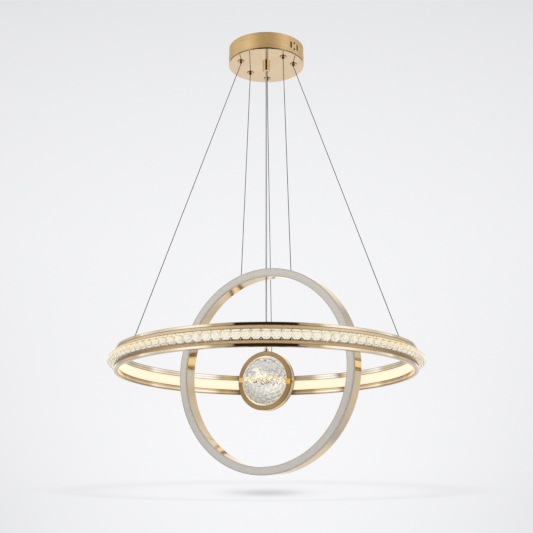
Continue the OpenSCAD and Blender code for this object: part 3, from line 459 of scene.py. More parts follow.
def ring_gold():
    """The ring's frame: polished rims, browner inner lips with a stripe of painted light each, and painted
    shade in the gaps and along the edges.
    """
    t = finish("ring_gold")
    hair, tone = grained(t, 260)
    x, y, z = t.axes()
    inner = hypotenuse(x, y).step(LIP_R + 0.0002, LIP_R - 0.0002)
    height = z - RING_Z
    off = t.maths("ABSOLUTE", height)
    gold = t.blend(tone, POLISHED_DARK, POLISHED_LIGHT)
    # painted light: the strip's light on each inner lip, as a stripe
    upper = t.blend(off.within(*UPPER_STRIPE, 0.0010), (0.93, 0.79, 0.55), (0.80, 0.60, 0.34))
    lower = t.blend(off.within(*LOWER_STRIPE, 0.0010), (0.68, 0.45, 0.19), (0.95, 0.78, 0.51))
    lips = t.blend(height.step(0.001, -0.001), upper, lower)
    # painted shade: dark lines in the gaps beside the inner lips and along the outer edges, strongest round
    # x = 0
    gap_shade = (off.step(*STRIP_GAP_SHADE) + off.step(*RIM_GAP_SHADE) * 0.7) * inner
    middle = t.maths("ABSOLUTE", x).step(*MIDDLE_X) * 0.6
    edge = off.step(*RIM_EDGE) * (middle + 0.4) + off.step(*BEZEL_EDGE) * (middle * 0.75 + 0.4)
    dark = (gap_shade + edge * (1.0 - inner)).clamp()
    return t.shade(Base_Color=t.blend(dark, t.blend(inner, gold, lips), PAINTED_SHADE_BROWN), Metallic=1.0,
                   Roughness=(hair - 0.5) * 0.02 + 0.03 + inner * 0.09,
                   Normal=t.bump(hair, 0.25, 0.000003))


dress(ring_gold(), "ring_frame")

# %% [markdown]
# ## The ball's holder
#
# The holder is a ring with a bronze face and a polished outside, and a thin line of light runs round
# the glass at its inner edge. All three follow the distance from the holder's own axis, which is
# turned with the ball, so x and y are turned first. The line is light in the finish, since the gap
# that it comes from is narrower than a pixel. The face's deep bronze is also painted shade, for the
# dark room that it mirrors, and the dark lines along the holder's edges are painted shade.

# %% The ball's holder
# where the lines of painted shade along the holder's edges lie
HOLDER_EDGE, HOLDER_OUTSIDE = (0.0552, 0.0556), (0.0555, 0.0557)
WALL_EDGE, LIT_EDGE = (0.0050, 0.0072), (0.0471, 0.0468)


def turned_with_ball(x, y):
    """x and y turned with the ball: the way across its holder and the way through it."""
    c, s = math.cos(math.radians(BALL_YAW)), math.sin(math.radians(BALL_YAW))
    return x * c - y * s, x * s + y * c


def holder_gold():
    """The ball's holder: a bronze face that is also painted shade, a polished outside, painted shade along
    the edges and a lit inner edge.
    """
    t = finish("bronze_gold")
    hair, tone = grained(t, 900)
    x, y, z = t.axes()
    across, through = turned_with_ball(x, y)
    reach = hypotenuse(across, z - BALL_Z)
    outside = reach.step(*HOLDER_OUTSIDE)
    # painted shade: dark lines along the holder's edges
    wall_edge = t.maths("ABSOLUTE", through).within(*WALL_EDGE, 0.0012) * outside
    edge = (reach.within(*HOLDER_EDGE, 0.0002) * 0.7 + wall_edge).clamp()
    # the face's deep bronze is also painted shade, for the dark room that it mirrors
    bronze = t.blend(tone, (0.315, 0.187, 0.065), (0.41, 0.257, 0.10))
    gold = t.blend(outside, bronze, t.blend(tone, (0.84, 0.58, 0.26), (0.90, 0.65, 0.33)))
    return t.shade(Base_Color=t.blend(edge * 0.8, gold, PAINTED_SHADE_BROWN), Metallic=1.0,
                   Roughness=(hair - 0.5) * 0.08 + 0.28 - outside * 0.21,
                   Normal=t.bump(hair, 0.25, 0.000008),
                   Emission_Color=t.blend(reach.step(*LIT_EDGE), BLACK, (0.56, 0.46, 0.32)),
                   Emission_Strength=1.0)


dress(holder_gold(), "ball_holder")

# %% [markdown]
# ## Steel, plastic and rubber inside the canopy
#
# These pieces show only when the lamp is seen from above, before it is screwed to the ceiling. They
# still get what they have in a shop: zinc-plated steel with its cloudy spangle, a white moulded
# driver with a fine grain, a polyamide terminal block, and leads with a soft rubber sheen. Spangle is
# a paving of cells, each its own grey, and moulded skin is a fine even noise.

# %% Inner finishes
def plated_steel():
    """Zinc plate: patches of slightly different grey, each with its own gloss."""
    t = finish("plated_steel")
    grey = t.patches(260.0)
    return t.shade(Base_Color=t.blend(grey, (0.527, 0.527, 0.51), (0.62, 0.62, 0.60)), Metallic=1.0,
                   Roughness=grey * 0.12 + 0.28, Normal=t.bump(t.noise(1500), 0.2, 0.00002))


def moulded(name, tone, roughness):
    """Moulded plastic: an even colour with faint clouds and a fine spark-eroded grain."""
    t = finish(name)
    shaded = tuple(v * 0.93 for v in tone)
    return t.shade(Base_Color=t.blend(t.noise(60), shaded, tone),
                   Roughness=(t.noise(300) - 0.5) * 0.1 + roughness,
                   Normal=t.bump(t.noise(1800, 3), 0.3, 0.00004))


steel = plated_steel()
dress(steel, "mounting_bracket", "driver_screws", "terminal_screws", "gripper_nuts", "cord_grip_nut",
      "cord_grip_screw", "hoop_bushing_nut", "ball_stem_nut", *[f"gripper_spring_{i}" for i in range(1, 6)])
dress(moulded("driver_plastic", (0.80, 0.80, 0.78), 0.45), "led_driver")
dress(moulded("terminal_plastic", (0.74, 0.74, 0.70), 0.38), "terminal_block")
dress(moulded("brown_lead", (0.16, 0.07, 0.035), 0.42), "mains_leads")
dress(moulded("grey_lead", (0.10, 0.10, 0.105), 0.42), "output_leads")
dress(moulded("light_board", (0.80, 0.80, 0.76), 0.4), "hoop_lights")

# %% [markdown]
# ## Frosted acrylic and the lit parts
#
# The hoop's front is a crowned strip of frosted acrylic, grey-white while its light is off. Its
# frosting is a very fine grain that spreads every highlight. The crown's shading is painted: both
# edges get painted shade, brown-grey by the distance from the hoop's centre. Real scattering inside
# the plastic would cost much time for little, so the milk is its colour. The ring's inside is lit: a
# milky silicone strip glows a warm white, a touch brighter between its lips than beside them.

# %% Frosted and lit finishes
FRONT_MIDDLE_R = 0.1877
DIFFUSER_HALF_H = 0.010


def frosted_acrylic():
    """Acrylic with a satin skin: soft clouds, and painted shade on its edges, brown-grey by the distance
    from the hoop's centre.
    """
    t = finish("frosted_acrylic")
    x, y, z = t.axes()
    reach = hypotenuse(hypotenuse(x, y), z - HOOP_Z)
    # painted shade of the crown: brown-grey towards both edges of the front
    edge = t.maths("ABSOLUTE", reach - FRONT_MIDDLE_R).step(0.0045, 0.0082)
    milk = t.blend(t.noise(30), (0.625, 0.588, 0.522), (0.665, 0.628, 0.56))
    return t.shade(Base_Color=t.blend(edge * 0.8, milk, (0.40, 0.36, 0.30)),
                   Roughness=(t.noise(400) - 0.5) * 0.08 + 0.42, Coat_Weight=0.15, Coat_Roughness=0.3,
                   Normal=t.bump(t.noise(1800, 2), 0.10, 0.00002))


def glowing(name, colour, edge, strength, middle=None):
    """A milky strip that glows in soft clouds. With a middle height its light fades towards both lips."""
    t = finish(name)
    glow = t.noise(40, 2).step(0.2, 0.8) * 0.25
    if middle is not None:
        x, y, z = t.axes()
        off = t.maths("ABSOLUTE", z - middle)
        glow = glow * 0.4 + off.step(DIFFUSER_HALF_H * 0.55, DIFFUSER_HALF_H)
    return t.shade(Base_Color=(0.30, 0.28, 0.24), Roughness=0.5, Emission_Strength=strength,
                   Emission_Color=t.blend(glow.clamp(), colour, edge))


dress(frosted_acrylic(), "hoop_front")
dress(glowing("lit_diffuser", (0.98, 0.855, 0.60), (0.93, 0.755, 0.465), 0.86, RING_Z), "ring_diffuser")
dress(glowing("ball_glow", (1.0, 0.92, 0.70), (0.95, 0.84, 0.62), 0.9), "ball_diffuser")
dress(glowing("strip_glow", (1.0, 0.88, 0.66), (1.0, 0.82, 0.55), 0.72),
      "ring_outer_lights", "ring_inner_lights", "ball_lights")

# %% [markdown]
# ## Surfaces from numpy
#
# Every new piece is a grid of points that a formula fills in one go: rows along one parameter and
# columns round the other. Four neighbouring points make a face. Where the columns close on
# themselves, the last joins the first, and a tube or ball is shut at each end by one more point.
# Modifiers could do some of this, but a formula says exactly where each point lies.

# %% Skins
def skin(name, points, faces, material, body="fitting", smooth=True):
    """A mesh object at the origin from points and faces, riding on a body."""
    mesh = bpy.data.meshes.new(name)
    mesh.from_pydata(points.reshape(-1, 3).tolist(), [], [tuple(f) for f in faces])
    mesh.polygons.foreach_set("use_smooth", np.full(len(mesh.polygons), smooth))
    mesh.materials.append(material)
    mesh.update()
    piece = bpy.data.objects.new(name, mesh)
    bpy.context.scene.collection.objects.link(piece)
    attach(piece, body)
    print(name, len(mesh.polygons), "faces")
    return piece


def grid_faces(rows, columns):
    """Faces of a grid whose columns close on themselves: each joins a point to its right and upper ones."""
    r, c = np.meshgrid(np.arange(rows - 1), np.arange(columns), indexing="ij")
    a, b = r * columns + c, r * columns + (c + 1) % columns
    return np.stack([a, b, b + columns, a + columns], -1).reshape(-1, 4).tolist()


def caps(rows, columns, first, last):
    """Triangles from the first row to the point numbered first, and from the last row to the point last."""
    c = np.arange(columns)
    low = np.stack([np.full(columns, first), (c + 1) % columns, c], -1)
    top = (rows - 1) * columns + np.stack([c, (c + 1) % columns], -1)
    high = np.concatenate([top, np.full((columns, 1), last)], 1)
    return low.tolist() + high.tolist()


def unit_ball(rows, columns):
    """Points (sin v cos u, sin v sin u, cos v) on a grid of v and u, with one more point at each pole."""
    v = np.linspace(0, np.pi, rows + 2)[1:-1, None]
    u = np.linspace(0, 2 * np.pi, columns, endpoint=False)[None, :]
    grid = np.stack([np.sin(v) * np.cos(u), np.sin(v) * np.sin(u), np.cos(v) + 0 * u], -1)
    points = np.concatenate([grid.reshape(-1, 3), [[0, 0, 1], [0, 0, -1]]])
    north = rows * columns
    return points, [f[::-1] for f in grid_faces(rows, columns) + caps(rows, columns, north, north + 1)]


# %% [markdown]
# ## The ball of hammered glass
#
# The real ball is solid glass whose skin is covered with small shallow dents. Each dent works as a
# lens, so the lit band of the ring behind the ball breaks up into bright shards. A bump would shade
# the skin but leave its outline smooth, so the dents are real shape: two hundred and ten seeds are
# spread over the sphere on a spiral, and each point sinks by how far it is from its nearest seed
# compared with the next one, which leaves soft crests between the dents.

# %% The shape of the ball
def hammered_ball(radius, centre, dents, depth, rows=170, columns=340):
    """A sphere with dents: a point's radius is less by depth (1 - crest^2).

    crest is 1 - (F2 - F1) / widest, with F1 and F2 the angles to the two nearest seeds.
    """
    rng = np.random.default_rng(7)
    k = np.arange(dents) + 0.5
    lift, turn = np.arccos(1 - 2 * k / dents), np.pi * (1 + 5 ** 0.5) * k
    lift, turn = lift + rng.normal(0, 0.028, dents), turn + rng.normal(0, 0.03, dents)
    seeds = np.stack([np.sin(lift) * np.cos(turn), np.sin(lift) * np.sin(turn), np.cos(lift)], -1)
    ways, faces = unit_ball(rows, columns)
    near = np.sort(np.arccos(np.clip(ways @ seeds.T, -1, 1)), axis=1)[:, :2]
    widest = 2.6 / dents ** 0.5
    crest = 1 - np.clip((near[:, 1] - near[:, 0]) / widest, 0, 1)
    r = radius - depth * (1 - crest ** 2)
    return ways * r[:, None] + np.array(centre), faces


# %% [markdown]
# ### Glass with light in it
#
# The glass is clear and a little warm. At its waist the photograph has a ragged, peaked band of warm
# shards, finer than the dents can make. So the glass itself glows there: crazy paving picks the
# shards, noise frays the band's height, and the light fades towards the sides.

# %% Glass finish and ball
BAND_UP, BAND_HALF_H, BAND_PEAK, BAND_FRAY, BAND_SOFT = 0.0045, 0.0085, 0.007, 0.016, 0.0025


def lit_glass():
    """The ball's glass: clear and a little warm, with lit shards in a ragged band at its waist."""
    t = finish("ball_glass")
    tone = t.blend(t.noise(40), (0.93, 0.91, 0.85), (0.95, 0.93, 0.87))
    shards = t.patches(140.0).step(0.35, 0.55) * 0.85 + 0.15
    x, y, z = t.axes()
    level = z - (BALL_Z + BAND_UP) + (t.noise(70, 2) - 0.5) * BAND_FRAY
    aside = t.maths("ABSOLUTE", turned_with_ball(x, y)[0])
    top = aside.step(0.024, 0.0) * BAND_PEAK + BAND_HALF_H
    band = level.step(-BAND_HALF_H, BAND_SOFT - BAND_HALF_H) * (top - level).step(0.0, BAND_SOFT)
    glow = band * shards * aside.step(0.040, 0.018)
    return t.shade(Base_Color=tone, Roughness=0.0, IOR=1.48, Transmission_Weight=1.0,
                   Emission_Color=t.blend(glow, BLACK, (1.0, 0.92, 0.68)), Emission_Strength=0.34)


points, faces = hammered_ball(BALL_R, (0.0, 0.0, BALL_Z), 210, 0.0006)
ball = skin("hammered_glass_ball", points, faces, lit_glass(), "ball")
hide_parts("crystal_ball")

# %% [markdown]
# ## The cut crystals
#
# A hundred and ten crystals stand side by side round the ring. Each is an eight-sided cushion: a
# small foot, a girdle, a star of facets that turns by half a step between girdle and table, and the
# flat table. Cutting a block with planes would do for one stone. Here one crystal is worked out as
# six eight-sided rings of points, and then turned round Z for every place at once. With so many
# copies each keeps to a few dozen faces.

# %% The shape of the crystals
CRYSTALS = 110
CRYSTAL_HALF_H, CRYSTAL_CUT, CRYSTAL_LOW, HALF_GAP = 0.0085, 0.0036, 0.0006, 0.00025
FOOT_R = corners("ring_outer_lights")[1][0] + 0.0003
GIRDLE_R = FOOT_R + 0.0040
TIP_R = corners("ring_crystals")[1][1]


def ring_places(shift=0.0):
    """The compass angles of the crystals, moved on by a share of the step between them."""
    return (np.arange(CRYSTALS) + shift) * 2 * np.pi / CRYSTALS - np.pi / 2


def copies(faces, count, points_each):
    """The same faces for count copies of a shape that has points_each points."""
    return [[v + n * points_each for v in f] for n in range(count) for f in faces]


def cushion(half_w, share, turn):
    """Eight points of a cushion outline scaled by share: its corners, or with turn their middles.

    The lower corners are cut off by CRYSTAL_CUT, and the upper ones by four tenths of it.
    """
    w, h, c, d = half_w, CRYSTAL_HALF_H, CRYSTAL_CUT, CRYSTAL_CUT * 0.4
    y = np.array([w, w, w - d, d - w, -w, -w, c - w, w - c])
    z = np.array([c - h, h - d, h, h, h - d, c - h, -h, -h])
    if turn:
        y, z = (y + np.roll(y, -1)) / 2, (z + np.roll(z, -1)) / 2
    return np.stack([y, z], -1) * share


def facets(turns):
    """Faces between eight-sided rings: quads where both are turned alike, and triangles where not."""
    quads, tris, k = [], [], np.arange(8)
    for i, (here, there) in enumerate(zip(turns, turns[1:])):
        a, b = i * 8 + k, i * 8 + (k + 1) % 8
        if here == there:
            quads += np.stack([a, b, b + 8, a + 8], -1).tolist()
        elif there:
            tris += np.stack([a, b, a + 8], -1).tolist() + np.stack([b, b + 8, a + 8], -1).tolist()
        else:
            tris += np.stack([a, b, b + 8], -1).tolist() + np.stack([a, b + 8, a + 8], -1).tolist()
    last = 8 * (len(turns) - 1)
    return quads + tris + [list(range(7, -1, -1)), list(range(last, last + 8))]


def crystal_row():
    """All crystals: eight-sided rings at growing radius, turned round Z by equal steps."""
    half_w = GIRDLE_R * math.tan(math.pi / CRYSTALS) - HALF_GAP
    radii = [FOOT_R, GIRDLE_R, GIRDLE_R + 0.0022, GIRDLE_R + 0.0050, TIP_R - 0.0022, TIP_R - 0.0002]
    shares, turns = [0.62, 0.985, 0.985, 0.86, 0.66, 0.40], [0, 0, 0, 1, 0, 1]
    rings = [np.concatenate([np.full((8, 1), r), cushion(half_w, share, turn)], 1)
             for r, share, turn in zip(radii, shares, turns)]
    x, y, z = np.concatenate(rings).T
    angle = ring_places()
    c, s = np.cos(angle)[:, None], np.sin(angle)[:, None]
    height = np.broadcast_to(z + RING_Z - CRYSTAL_LOW, (CRYSTALS, len(z)))
    points = np.stack([c * x - s * y, s * x + c * y, height], -1)
    return points, copies(facets(turns), CRYSTALS, len(z))


# %% [markdown]
# ### The crystals' glass
#
# Cut glass bends light so far that each crystal shows parts of the strip behind it. In the photograph
# the light is warm in a V above each gap, where the strip shines through two stones, and whitish in
# the middle of each stone. The V is painted light, drawn from the angle round the ring and the height,
# with painted shade as a darker line along its edge.

# %% Crystal finish
V_POINT, V_HEIGHT, V_SHARE = -0.0025, 0.0115, 0.46


def crystal_finish():
    """Cut glass that glows a little from the strip behind it, warmest in a V above each gap, with painted
    shade as a darker line along the V.
    """
    t = finish("crystal_glass")
    x, y, z = t.axes()
    turn = (t.maths("ARCTAN2", y, x) + math.pi / 2) * (CRYSTALS / 2 / math.pi)
    from_gap = 0.5 - t.maths("PINGPONG", turn, 0.5)
    spread = (z - RING_Z - V_POINT) / V_HEIGHT * V_SHARE
    warm = (spread - from_gap).step(-0.05, 0.05)
    # painted shade: a darker line along the edge of the V
    line = (spread - from_gap).within(-0.035, 0.015, 0.03) * 0.35
    tone = t.blend(warm, (0.87, 0.90, 0.94), (1.0, 0.90, 0.58))
    return t.shade(Base_Color=t.blend(line, tone, (0.55, 0.50, 0.42)), Roughness=0.0, IOR=1.56,
                   Transmission_Weight=1.0, Specular_IOR_Level=0.3,
                   Emission_Color=t.blend(warm, (0.93, 0.93, 0.94), (1.0, 0.90, 0.58)),
                   Emission_Strength=0.09)


points, faces = crystal_row()
crystals = skin("cut_crystals", points, faces, crystal_finish(), smooth=False)
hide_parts("ring_crystals")

# %% [markdown]
# ## Claws between the crystals
#
# Small round claws hold the crystals at their corners, one above and one below each gap. They show
# as dots between the crystals. A claw is a small ball, so it is the same grid in two angles as the
# glass ball with far fewer points, copied round the ring like the crystals.

# %% Claws
def claw_row(radius, reach, height):
    """Balls at the gaps, height above the ring's middle and reach from its axis."""
    one, shape = unit_ball(5, 8)
    angle = ring_places(shift=0.5)
    height = np.full(CRYSTALS, RING_Z + height)
    centre = np.stack([np.cos(angle) * reach, np.sin(angle) * reach, height], -1)
    return centre[:, None, :] + one[None] * radius, copies(shape, CRYSTALS, len(one))


claw_gold = plain_gold("pale_gold", (0.95, 0.82, 0.66), (0.88, 0.74, 0.56), 0.35)
for name, radius, reach, height in (("lower_claws", 0.00125, 0.2918, -0.0086),
                                    ("upper_claws", 0.0009, 0.2890, 0.0086)):
    points, faces = claw_row(radius, reach, height)
    skin(name, points, faces, claw_gold)

# %% [markdown]
# ## Steel wires
#
# Each wire is a rope of steel strands that the lamp's weight holds taut. It leaves its gripper
# upright, bends just under it and runs straight to its anchor. A bevelled curve would give a plain
# round rod. Carrying a profile along the path gives a tube as well, and a wave in the profile that
# turns as it goes gives the strands.

# %% Tubes along a path
STRAND_LAY, STRAND_DEPTH = 0.012, 0.05


def length_of(path):
    """The way along a path up to each of its points."""
    return np.concatenate([[0], np.cumsum(np.linalg.norm(np.diff(path, axis=0), axis=1))])


def tube(path, radius, sides, strands=0, across=(0.0, 1.0, 0.2)):
    """Rings round a path, square to it, shut at both ends.

    A ring's radius is radius times (1 - depth |sin(strands / 2 (angle - 2 pi s / lay))|), with s the
    way along the path. The angle starts square to across, which never runs along the path.
    """
    way = np.gradient(path, axis=0)
    way /= np.linalg.norm(way, axis=1, keepdims=True)
    side = np.cross(way, across)
    side /= np.linalg.norm(side, axis=1, keepdims=True)
    other = np.cross(way, side)
    s = length_of(path)[:, None]
    a = np.linspace(0, 2 * np.pi, sides, endpoint=False)[None, :]
    r = radius * (1 - STRAND_DEPTH * np.abs(np.sin(strands / 2 * (a - 2 * np.pi * s / STRAND_LAY))))
    ring = r[..., None] * (np.cos(a)[..., None] * side[:, None] + np.sin(a)[..., None] * other[:, None])
    points = np.concatenate([(path[:, None] + ring).reshape(-1, 3), path[:1], path[-1:]])
    n = len(path) * sides
    return points, grid_faces(len(path), sides) + caps(len(path), sides, n, n + 1)


def route(bends, spacing):
    """Points along a broken line through the bends, no further apart than spacing."""
    stretches = list(zip(bends, bends[1:]))
    counts = [max(2, int(np.linalg.norm(b - a) / spacing) + 1) for a, b in stretches]
    parts = [a + (b - a) * np.linspace(0, 1, n, endpoint=False)[:, None]
             for (a, b), n in zip(stretches, counts)]
    return np.concatenate(parts + [bends[-1:]])


# %% [markdown]
# ### Where the wires run
#
# The wires start inside the grippers and end in anchors on the ring and the hoop. The five routes are
# those of the CAD model, worked out again from the same few sizes: the grippers' places, the anchors'
# places, and the turn and lean of the hoop.

# %% Steel wires
WIRE_D = 0.0014
WIRE_TOP, WIRE_BEND, RISE = CORD_TOP / MM, -42.6, 1.2
RING_ANCHORS, RING_ANCHOR_R = (-144, -35, 87.4), 282.95
HOOP_R, HOOP_ANCHOR_S, HOOP_ANCHOR_BACK = 195.3, 57.0, 4.0
RIM_TOP = corners("ring_frame")[1][2] / MM


def drawn_steel():
    """Drawn wire: dark grey steel with darker patches of grease."""
    t = finish("wire_steel")
    stain = t.noise(120, 3)
    return t.shade(Base_Color=t.blend(stain.step(0.3, 0.7), (0.022, 0.022, 0.022), (0.040, 0.040, 0.039)),
                   Metallic=0.2, Specular_IOR_Level=0.25, Roughness=(stain - 0.5) * 0.15 + 0.42,
                   Normal=t.bump(t.noise(3000), 0.2, 0.00002))


def polar(radius, angle, height):
    """A point from its distance to the Z axis, its compass angle and its height, in millimetres."""
    a = math.radians(angle)
    return np.array([radius * math.cos(a), radius * math.sin(a), height]) * MM


def hoop_point(s, up, back):
    """A point of the leaning, turned hoop: s millimetres to its side, up and back from its centre."""
    lean, yaw = math.radians(HOOP_LEAN), math.radians(HOOP_YAW)
    y, z = back * math.cos(lean) - up * math.sin(lean), back * math.sin(lean) + up * math.cos(lean)
    x, y = s * math.cos(yaw) + y * math.sin(yaw), y * math.cos(yaw) - s * math.sin(yaw)
    return np.array([x, y, z + HOOP_Z / MM]) * MM


ends = [polar(RING_ANCHOR_R, angle, RIM_TOP + RISE) for angle in RING_ANCHORS]
for s in (-HOOP_ANCHOR_S, HOOP_ANCHOR_S):
    out = (HOOP_R + RISE) / HOOP_R
    ends.append(hoop_point(s * out, math.sqrt(HOOP_R ** 2 - s ** 2) * out, HOOP_ANCHOR_BACK))
names = ["ring_wire_1", "ring_wire_2", "ring_wire_3", "hoop_wire_1", "hoop_wire_2"]
wire_steel = drawn_steel()
for name, (radius, angle), end in zip(names, OUTLETS, ends):
    bends = np.array([polar(radius, angle, WIRE_TOP), polar(radius, angle, WIRE_BEND), end])
    path = route(bends, 0.0013)
    points, faces = tube(path, WIRE_D / 2, 14, strands=7)
    wire = skin("stranded_" + name, points, faces, wire_steel)
    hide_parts(name)

# %% [markdown]
# ## The grippers' springs
#
# A spring round each wire pushes its plunger down. The CAD model has a plain sleeve there. This is a
# helix of steel wire whose first and last turn lie flat, carried along its path as the wires are.

# %% Coil springs
SPRING_LOW, SPRING_HIGH = [corner[2] for corner in corners("gripper_spring_1")]
SPRING_R, SPRING_WIRE_R, PRESS = 0.0026, 0.0003, 0.002


def helix(x, y, low, high, radius, wire, turns=4.5):
    """Points on a helix: its height is level for half a turn at both ends and rises evenly between."""
    a = np.linspace(0, 2 * np.pi * turns, int(turns * 24) + 1)
    rise = np.clip((a / (2 * np.pi) - 0.5) / (turns - 1), 0, 1)
    height = low + wire + (high - low - 2 * wire) * rise
    return np.stack([x + radius * np.cos(a), y + radius * np.sin(a), height], -1)


for i, (radius, angle) in enumerate(OUTLETS, 1):
    x, y = polar(radius, angle, 0)[:2]
    path = helix(x, y, SPRING_LOW, SPRING_HIGH, SPRING_R, SPRING_WIRE_R)
    points, faces = tube(path, SPRING_WIRE_R, 8, across=(0.0, 0.0, 1.0))
    spring = skin(f"coil_spring_{i}", points, faces, steel)
    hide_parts(f"gripper_spring_{i}")
    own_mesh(spring)

# %% [markdown]
# ## The power cable
#
# One cable runs from the cord grip through the hoop's bushing to the ball, and carries both the
# current and the ball. It is round and smooth with a milky jacket, so it is a tube with no strands.

# %% Power cable
CABLE_D = 0.003


def milky_jacket():
    """A cable's translucent jacket: milky white with a soft gloss."""
    t = finish("cable_jacket")
    return t.shade(Base_Color=t.blend(t.noise(90), (0.38, 0.38, 0.36), (0.46, 0.46, 0.44)),
                   Roughness=(t.noise(400) - 0.5) * 0.1 + 0.35, Normal=t.bump(t.noise(1200), 0.15, 0.00003))


cable_path = route(np.array([[0, 0, CORD_TOP], [0, 0, -0.4], [0, 0, CORD_END]]), 0.01)
points, faces = tube(cable_path, CABLE_D / 2, 24)
cable = skin("cable_to_ball", points, faces, milky_jacket())
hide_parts("power_cable")

# %% [markdown]
# ## The studio
#
# Polished metal shows the room more than itself, so the room is painted with care. It could be built
# from walls and lamps, but light panels painted on the sky cost no render time and leave no noise.
# Seen directly, the back of the room is the photograph's pale grey. Towards the camera there is a
# dark patch where the camera stands, with tall light panels on either side: they give the rims their
# dark middle and their bright ends.

# %% The wall behind the lamp
WALL = [(0.0, (0.906, 0.910, 0.930)), (0.06, (0.914, 0.918, 0.936)), (0.14, (0.932, 0.934, 0.952)),
        (0.22, (0.932, 0.934, 0.952)), (0.30, (0.922, 0.924, 0.942)), (0.45, (0.908, 0.911, 0.930)),
        (0.55, (0.903, 0.906, 0.924)), (0.66, (0.885, 0.888, 0.906)), (0.77, (0.862, 0.866, 0.884)),
        (0.865, (0.832, 0.835, 0.852)), (0.93, (0.806, 0.811, 0.828)), (0.96, (0.800, 0.805, 0.820))]
WALL_TOP = 0.52
world = bpy.data.worlds.new("studio")
bpy.context.scene.world = world
w = Tree(world)
dx, dy, dz = w.split(w.add("TexCoord", out="Generated"))
forwards = dy * math.cos(math.radians(TILT)) + dz * math.sin(math.radians(TILT)) + 0.00001
sideways = dx / forwards * (2 * LENS / SENSOR)
height = w.add("MapRange", {}, {"Value": dz, "From Min": 0.0, "From Max": WALL_TOP})
wall = w.add("ValToRGB", {"stops": WALL}, {0: height})
fall_off = 0.112 - height.step(0.02, 0.55) * 0.071 + height.step(0.88, 0.97) * 0.02
wall = w.blend((sideways ** 2.0).clamp() * fall_off, wall, BLACK)
wall = w.blend(dz.step(0.02, -0.25), wall, (0.66, 0.66, 0.66))
print("wall in", len(WALL), "stops, darker towards the sides")

# %% [markdown]
# ### The light panels
#
# The panels are stops of a colour ramp. It runs from the wall behind the lamp, at 0, to the camera,
# at 1, by the compass direction alone, so each panel is an upright stripe. High up and low down the
# stripes give way to a plain ceiling and floor.

# %% The light panels
PANELS = [(0.03, (0.70, 0.71, 0.73)), (0.117, (0.42, 0.45, 0.55)), (0.22, (0.56, 0.57, 0.60)),
          (0.27, (0.58, 0.58, 0.62)), (0.305, (0.52, 0.51, 0.50)), (0.345, (0.60, 0.66, 0.80)),
          (0.379, (0.90, 1.02, 1.35)), (0.448, (0.75, 0.83, 1.05)), (0.535, (0.62, 0.65, 0.78)),
          (0.64, (0.72, 0.78, 0.95)), (0.735, (0.95, 1.08, 1.50)), (0.821, (0.95, 1.08, 1.50)),
          (0.862, (0.86, 0.92, 1.10)), (0.890, (0.47, 0.46, 0.45)), (0.930, (0.42, 0.41, 0.40)),
          (0.955, (0.35, 0.345, 0.34)), (0.962, (0.022, 0.017, 0.011)), (1.0, (0.022, 0.016, 0.010))]
level = (dx * dx + dy * dy) ** 0.5 + 0.0001
facing = dy / level * -0.5 + 0.5
panels = w.add("ValToRGB", {"stops": PANELS}, {0: facing})
panels = w.blend(w.maths("ABSOLUTE", dz).step(0.50, 0.66), panels, (0.72, 0.72, 0.71))
room = w.blend(facing.step(0.10, 0.04), panels, wall)
print("panels in", len(PANELS), "stops")

# %% [markdown]
# ### Who sees what
#
# The camera sees the wall, mirrors see the room with its panels, and clear glass sees the wall a
# little darker. Matt surfaces get a plain, even light, slightly stronger from above. Each is its own
# background, and the kind of ray chooses between them.

# %% World
EYES_SEE, MIRRORS_SEE, GLASS_SEES, MATT_SEES = 1.0, 1.25, 0.80, 0.62
to_eye, to_mirror, through_glass = [w.add("LightPath", out=f"Is {kind} Ray")
                                    for kind in ("Camera", "Glossy", "Transmission")]
even_light = w.blend(dz.step(-0.4, 0.4), (0.70, 0.70, 0.71), (1.06, 1.07, 1.09))
seen_through = w.blend(dy.step(0.95, 0.75), wall, (0.52, 0.54, 0.56))
seen_through = w.blend(dz.step(0.10, -0.15) * 0.17, seen_through, BLACK)
for_eyes = w.add("Background", {}, {"Color": wall, "Strength": EYES_SEE})
for_mirrors = w.add("Background", {}, {"Color": room, "Strength": MIRRORS_SEE})
for_glass = w.add("Background", {}, {"Color": seen_through, "Strength": GLASS_SEES})
for_matt = w.add("Background", {}, {"Color": even_light, "Strength": MATT_SEES})
mirror_or_matt = w.add("MixShader", {}, {0: to_mirror, 1: for_matt, 2: for_mirrors})
clear_or_not = w.add("MixShader", {}, {0: through_glass, 1: mirror_or_matt, 2: for_glass})
w.add("OutputWorld", {}, {"Surface": w.add("MixShader", {}, {0: to_eye, 1: clear_or_not, 2: for_eyes})})
print("world painted")

# %% [markdown]
# ## Floor
#
# The floor lies as far below the ceiling as in a real room, under the picture's lower edge, and
# shows in the views from above. It is a plain painted disc, hidden from mirrors, for which the world
# already holds a floor.

# %% Floor
FLOOR_Z, FLOOR_R = -2.6, 9.0


def flat_disc(name, radius, height, material, sides=96):
    """A level disc: one face through points (radius cos a, radius sin a, height)."""
    a = np.linspace(0, 2 * np.pi, sides, endpoint=False)
    rim = np.stack([radius * np.cos(a), radius * np.sin(a), np.full(sides, height)], -1)
    mesh = bpy.data.meshes.new(name)
    mesh.from_pydata(rim.tolist(), [], [list(range(sides))])
    mesh.materials.append(material)
    disc = bpy.data.objects.new(name, mesh)
    bpy.context.scene.collection.objects.link(disc)
    print(name, "of", radius, "m at", height, "m")
    return disc


def floor_paint():
    """Pale matt paint with soft clouds."""
    t = finish("floor_paint")
    return t.shade(Base_Color=t.blend(t.noise(0.8), (0.92, 0.92, 0.93), (0.96, 0.96, 0.97)),
                   Roughness=t.noise(3.0) * 0.1 + 0.5)


floor = flat_disc("floor", FLOOR_R, FLOOR_Z, floor_paint())
floor.visible_glossy = False

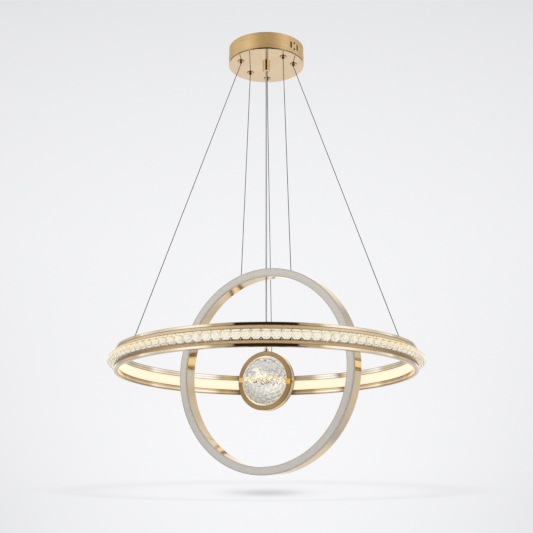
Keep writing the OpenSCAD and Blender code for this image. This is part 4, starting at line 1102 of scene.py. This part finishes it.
# %% [markdown]
# ### The soft shadow under the lamp
#
# The photograph has a faint ring of shadow just under the hoop, as if the lamp hung over a glass
# table. A clear disc there darkens what is seen through it: in a soft ring a little wider than the
# lamp, and in a small spot under the hoop. Only the camera sees it, so it takes no light from the
# metal.

# %% Shadow disc
SHADOW_RING_R, SHADOW_RING_W, SHADOW_SPOT = 0.341, 0.059, (0.064, 0.138)


def soft_shadow():
    """Clear but for a shade that falls by a bell curve of the distance from a ring, and from the middle."""
    t = finish("soft_shadow")
    x, y, z = t.axes()
    ring = (hypotenuse(x, y) - SHADOW_RING_R) / SHADOW_RING_W
    spot = hypotenuse(x / SHADOW_SPOT[0], y / SHADOW_SPOT[1])
    shade = t.maths("EXPONENT", -(ring * ring)) * 0.055 + t.maths("EXPONENT", -(spot * spot)) * 0.30
    clear, dark = [t.add("BsdfTransparent", {}, {"Color": colour}) for colour in (WHITE, BLACK)]
    return t.cover(t.add("MixShader", {}, {0: shade, 1: clear, 2: dark}))


shadow = flat_disc("shadow_disc", 0.62, -0.896, soft_shadow())
shadow.visible_glossy = shadow.visible_transmission = False
shadow.visible_diffuse = shadow.visible_shadow = False

# %% [markdown]
# ## Lamps
#
# Three soft area lamps shape the matt surfaces: a key from the left, a weak fill from the right and
# one above. They are hidden from the camera, mirrors and glass, which already see the painted world.

# %% Lamps
AIM = (0, 0, -0.55)


def soft_lamp(name, place, size, watts, tint=WHITE):
    """A square area light, turned so that it points at AIM."""
    light = bpy.data.lights.new(name, "AREA")
    light.shape, light.size, light.energy, light.color = "SQUARE", size, watts, tint
    lamp = bpy.data.objects.new(name, light)
    bpy.context.scene.collection.objects.link(lamp)
    lamp.location = place
    aim = np.array(AIM) - np.array(place)
    tilt, turn = math.acos(-aim[2] / np.linalg.norm(aim)), math.atan2(aim[1], aim[0])
    lamp.rotation_euler = (tilt, 0, turn - math.pi / 2)
    lamp.visible_camera = lamp.visible_glossy = lamp.visible_transmission = False
    print(name, watts, "W")


soft_lamp("key_lamp", (-1.7, -2.0, 0.7), 1.4, 22, (1.0, 0.98, 0.95))
soft_lamp("fill_lamp", (2.0, -1.2, -0.2), 1.6, 9)
soft_lamp("top_lamp", (0.3, 0.4, 1.8), 1.2, 16)

# %% Finish
bpy.context.scene.view_settings.view_transform = "Standard"
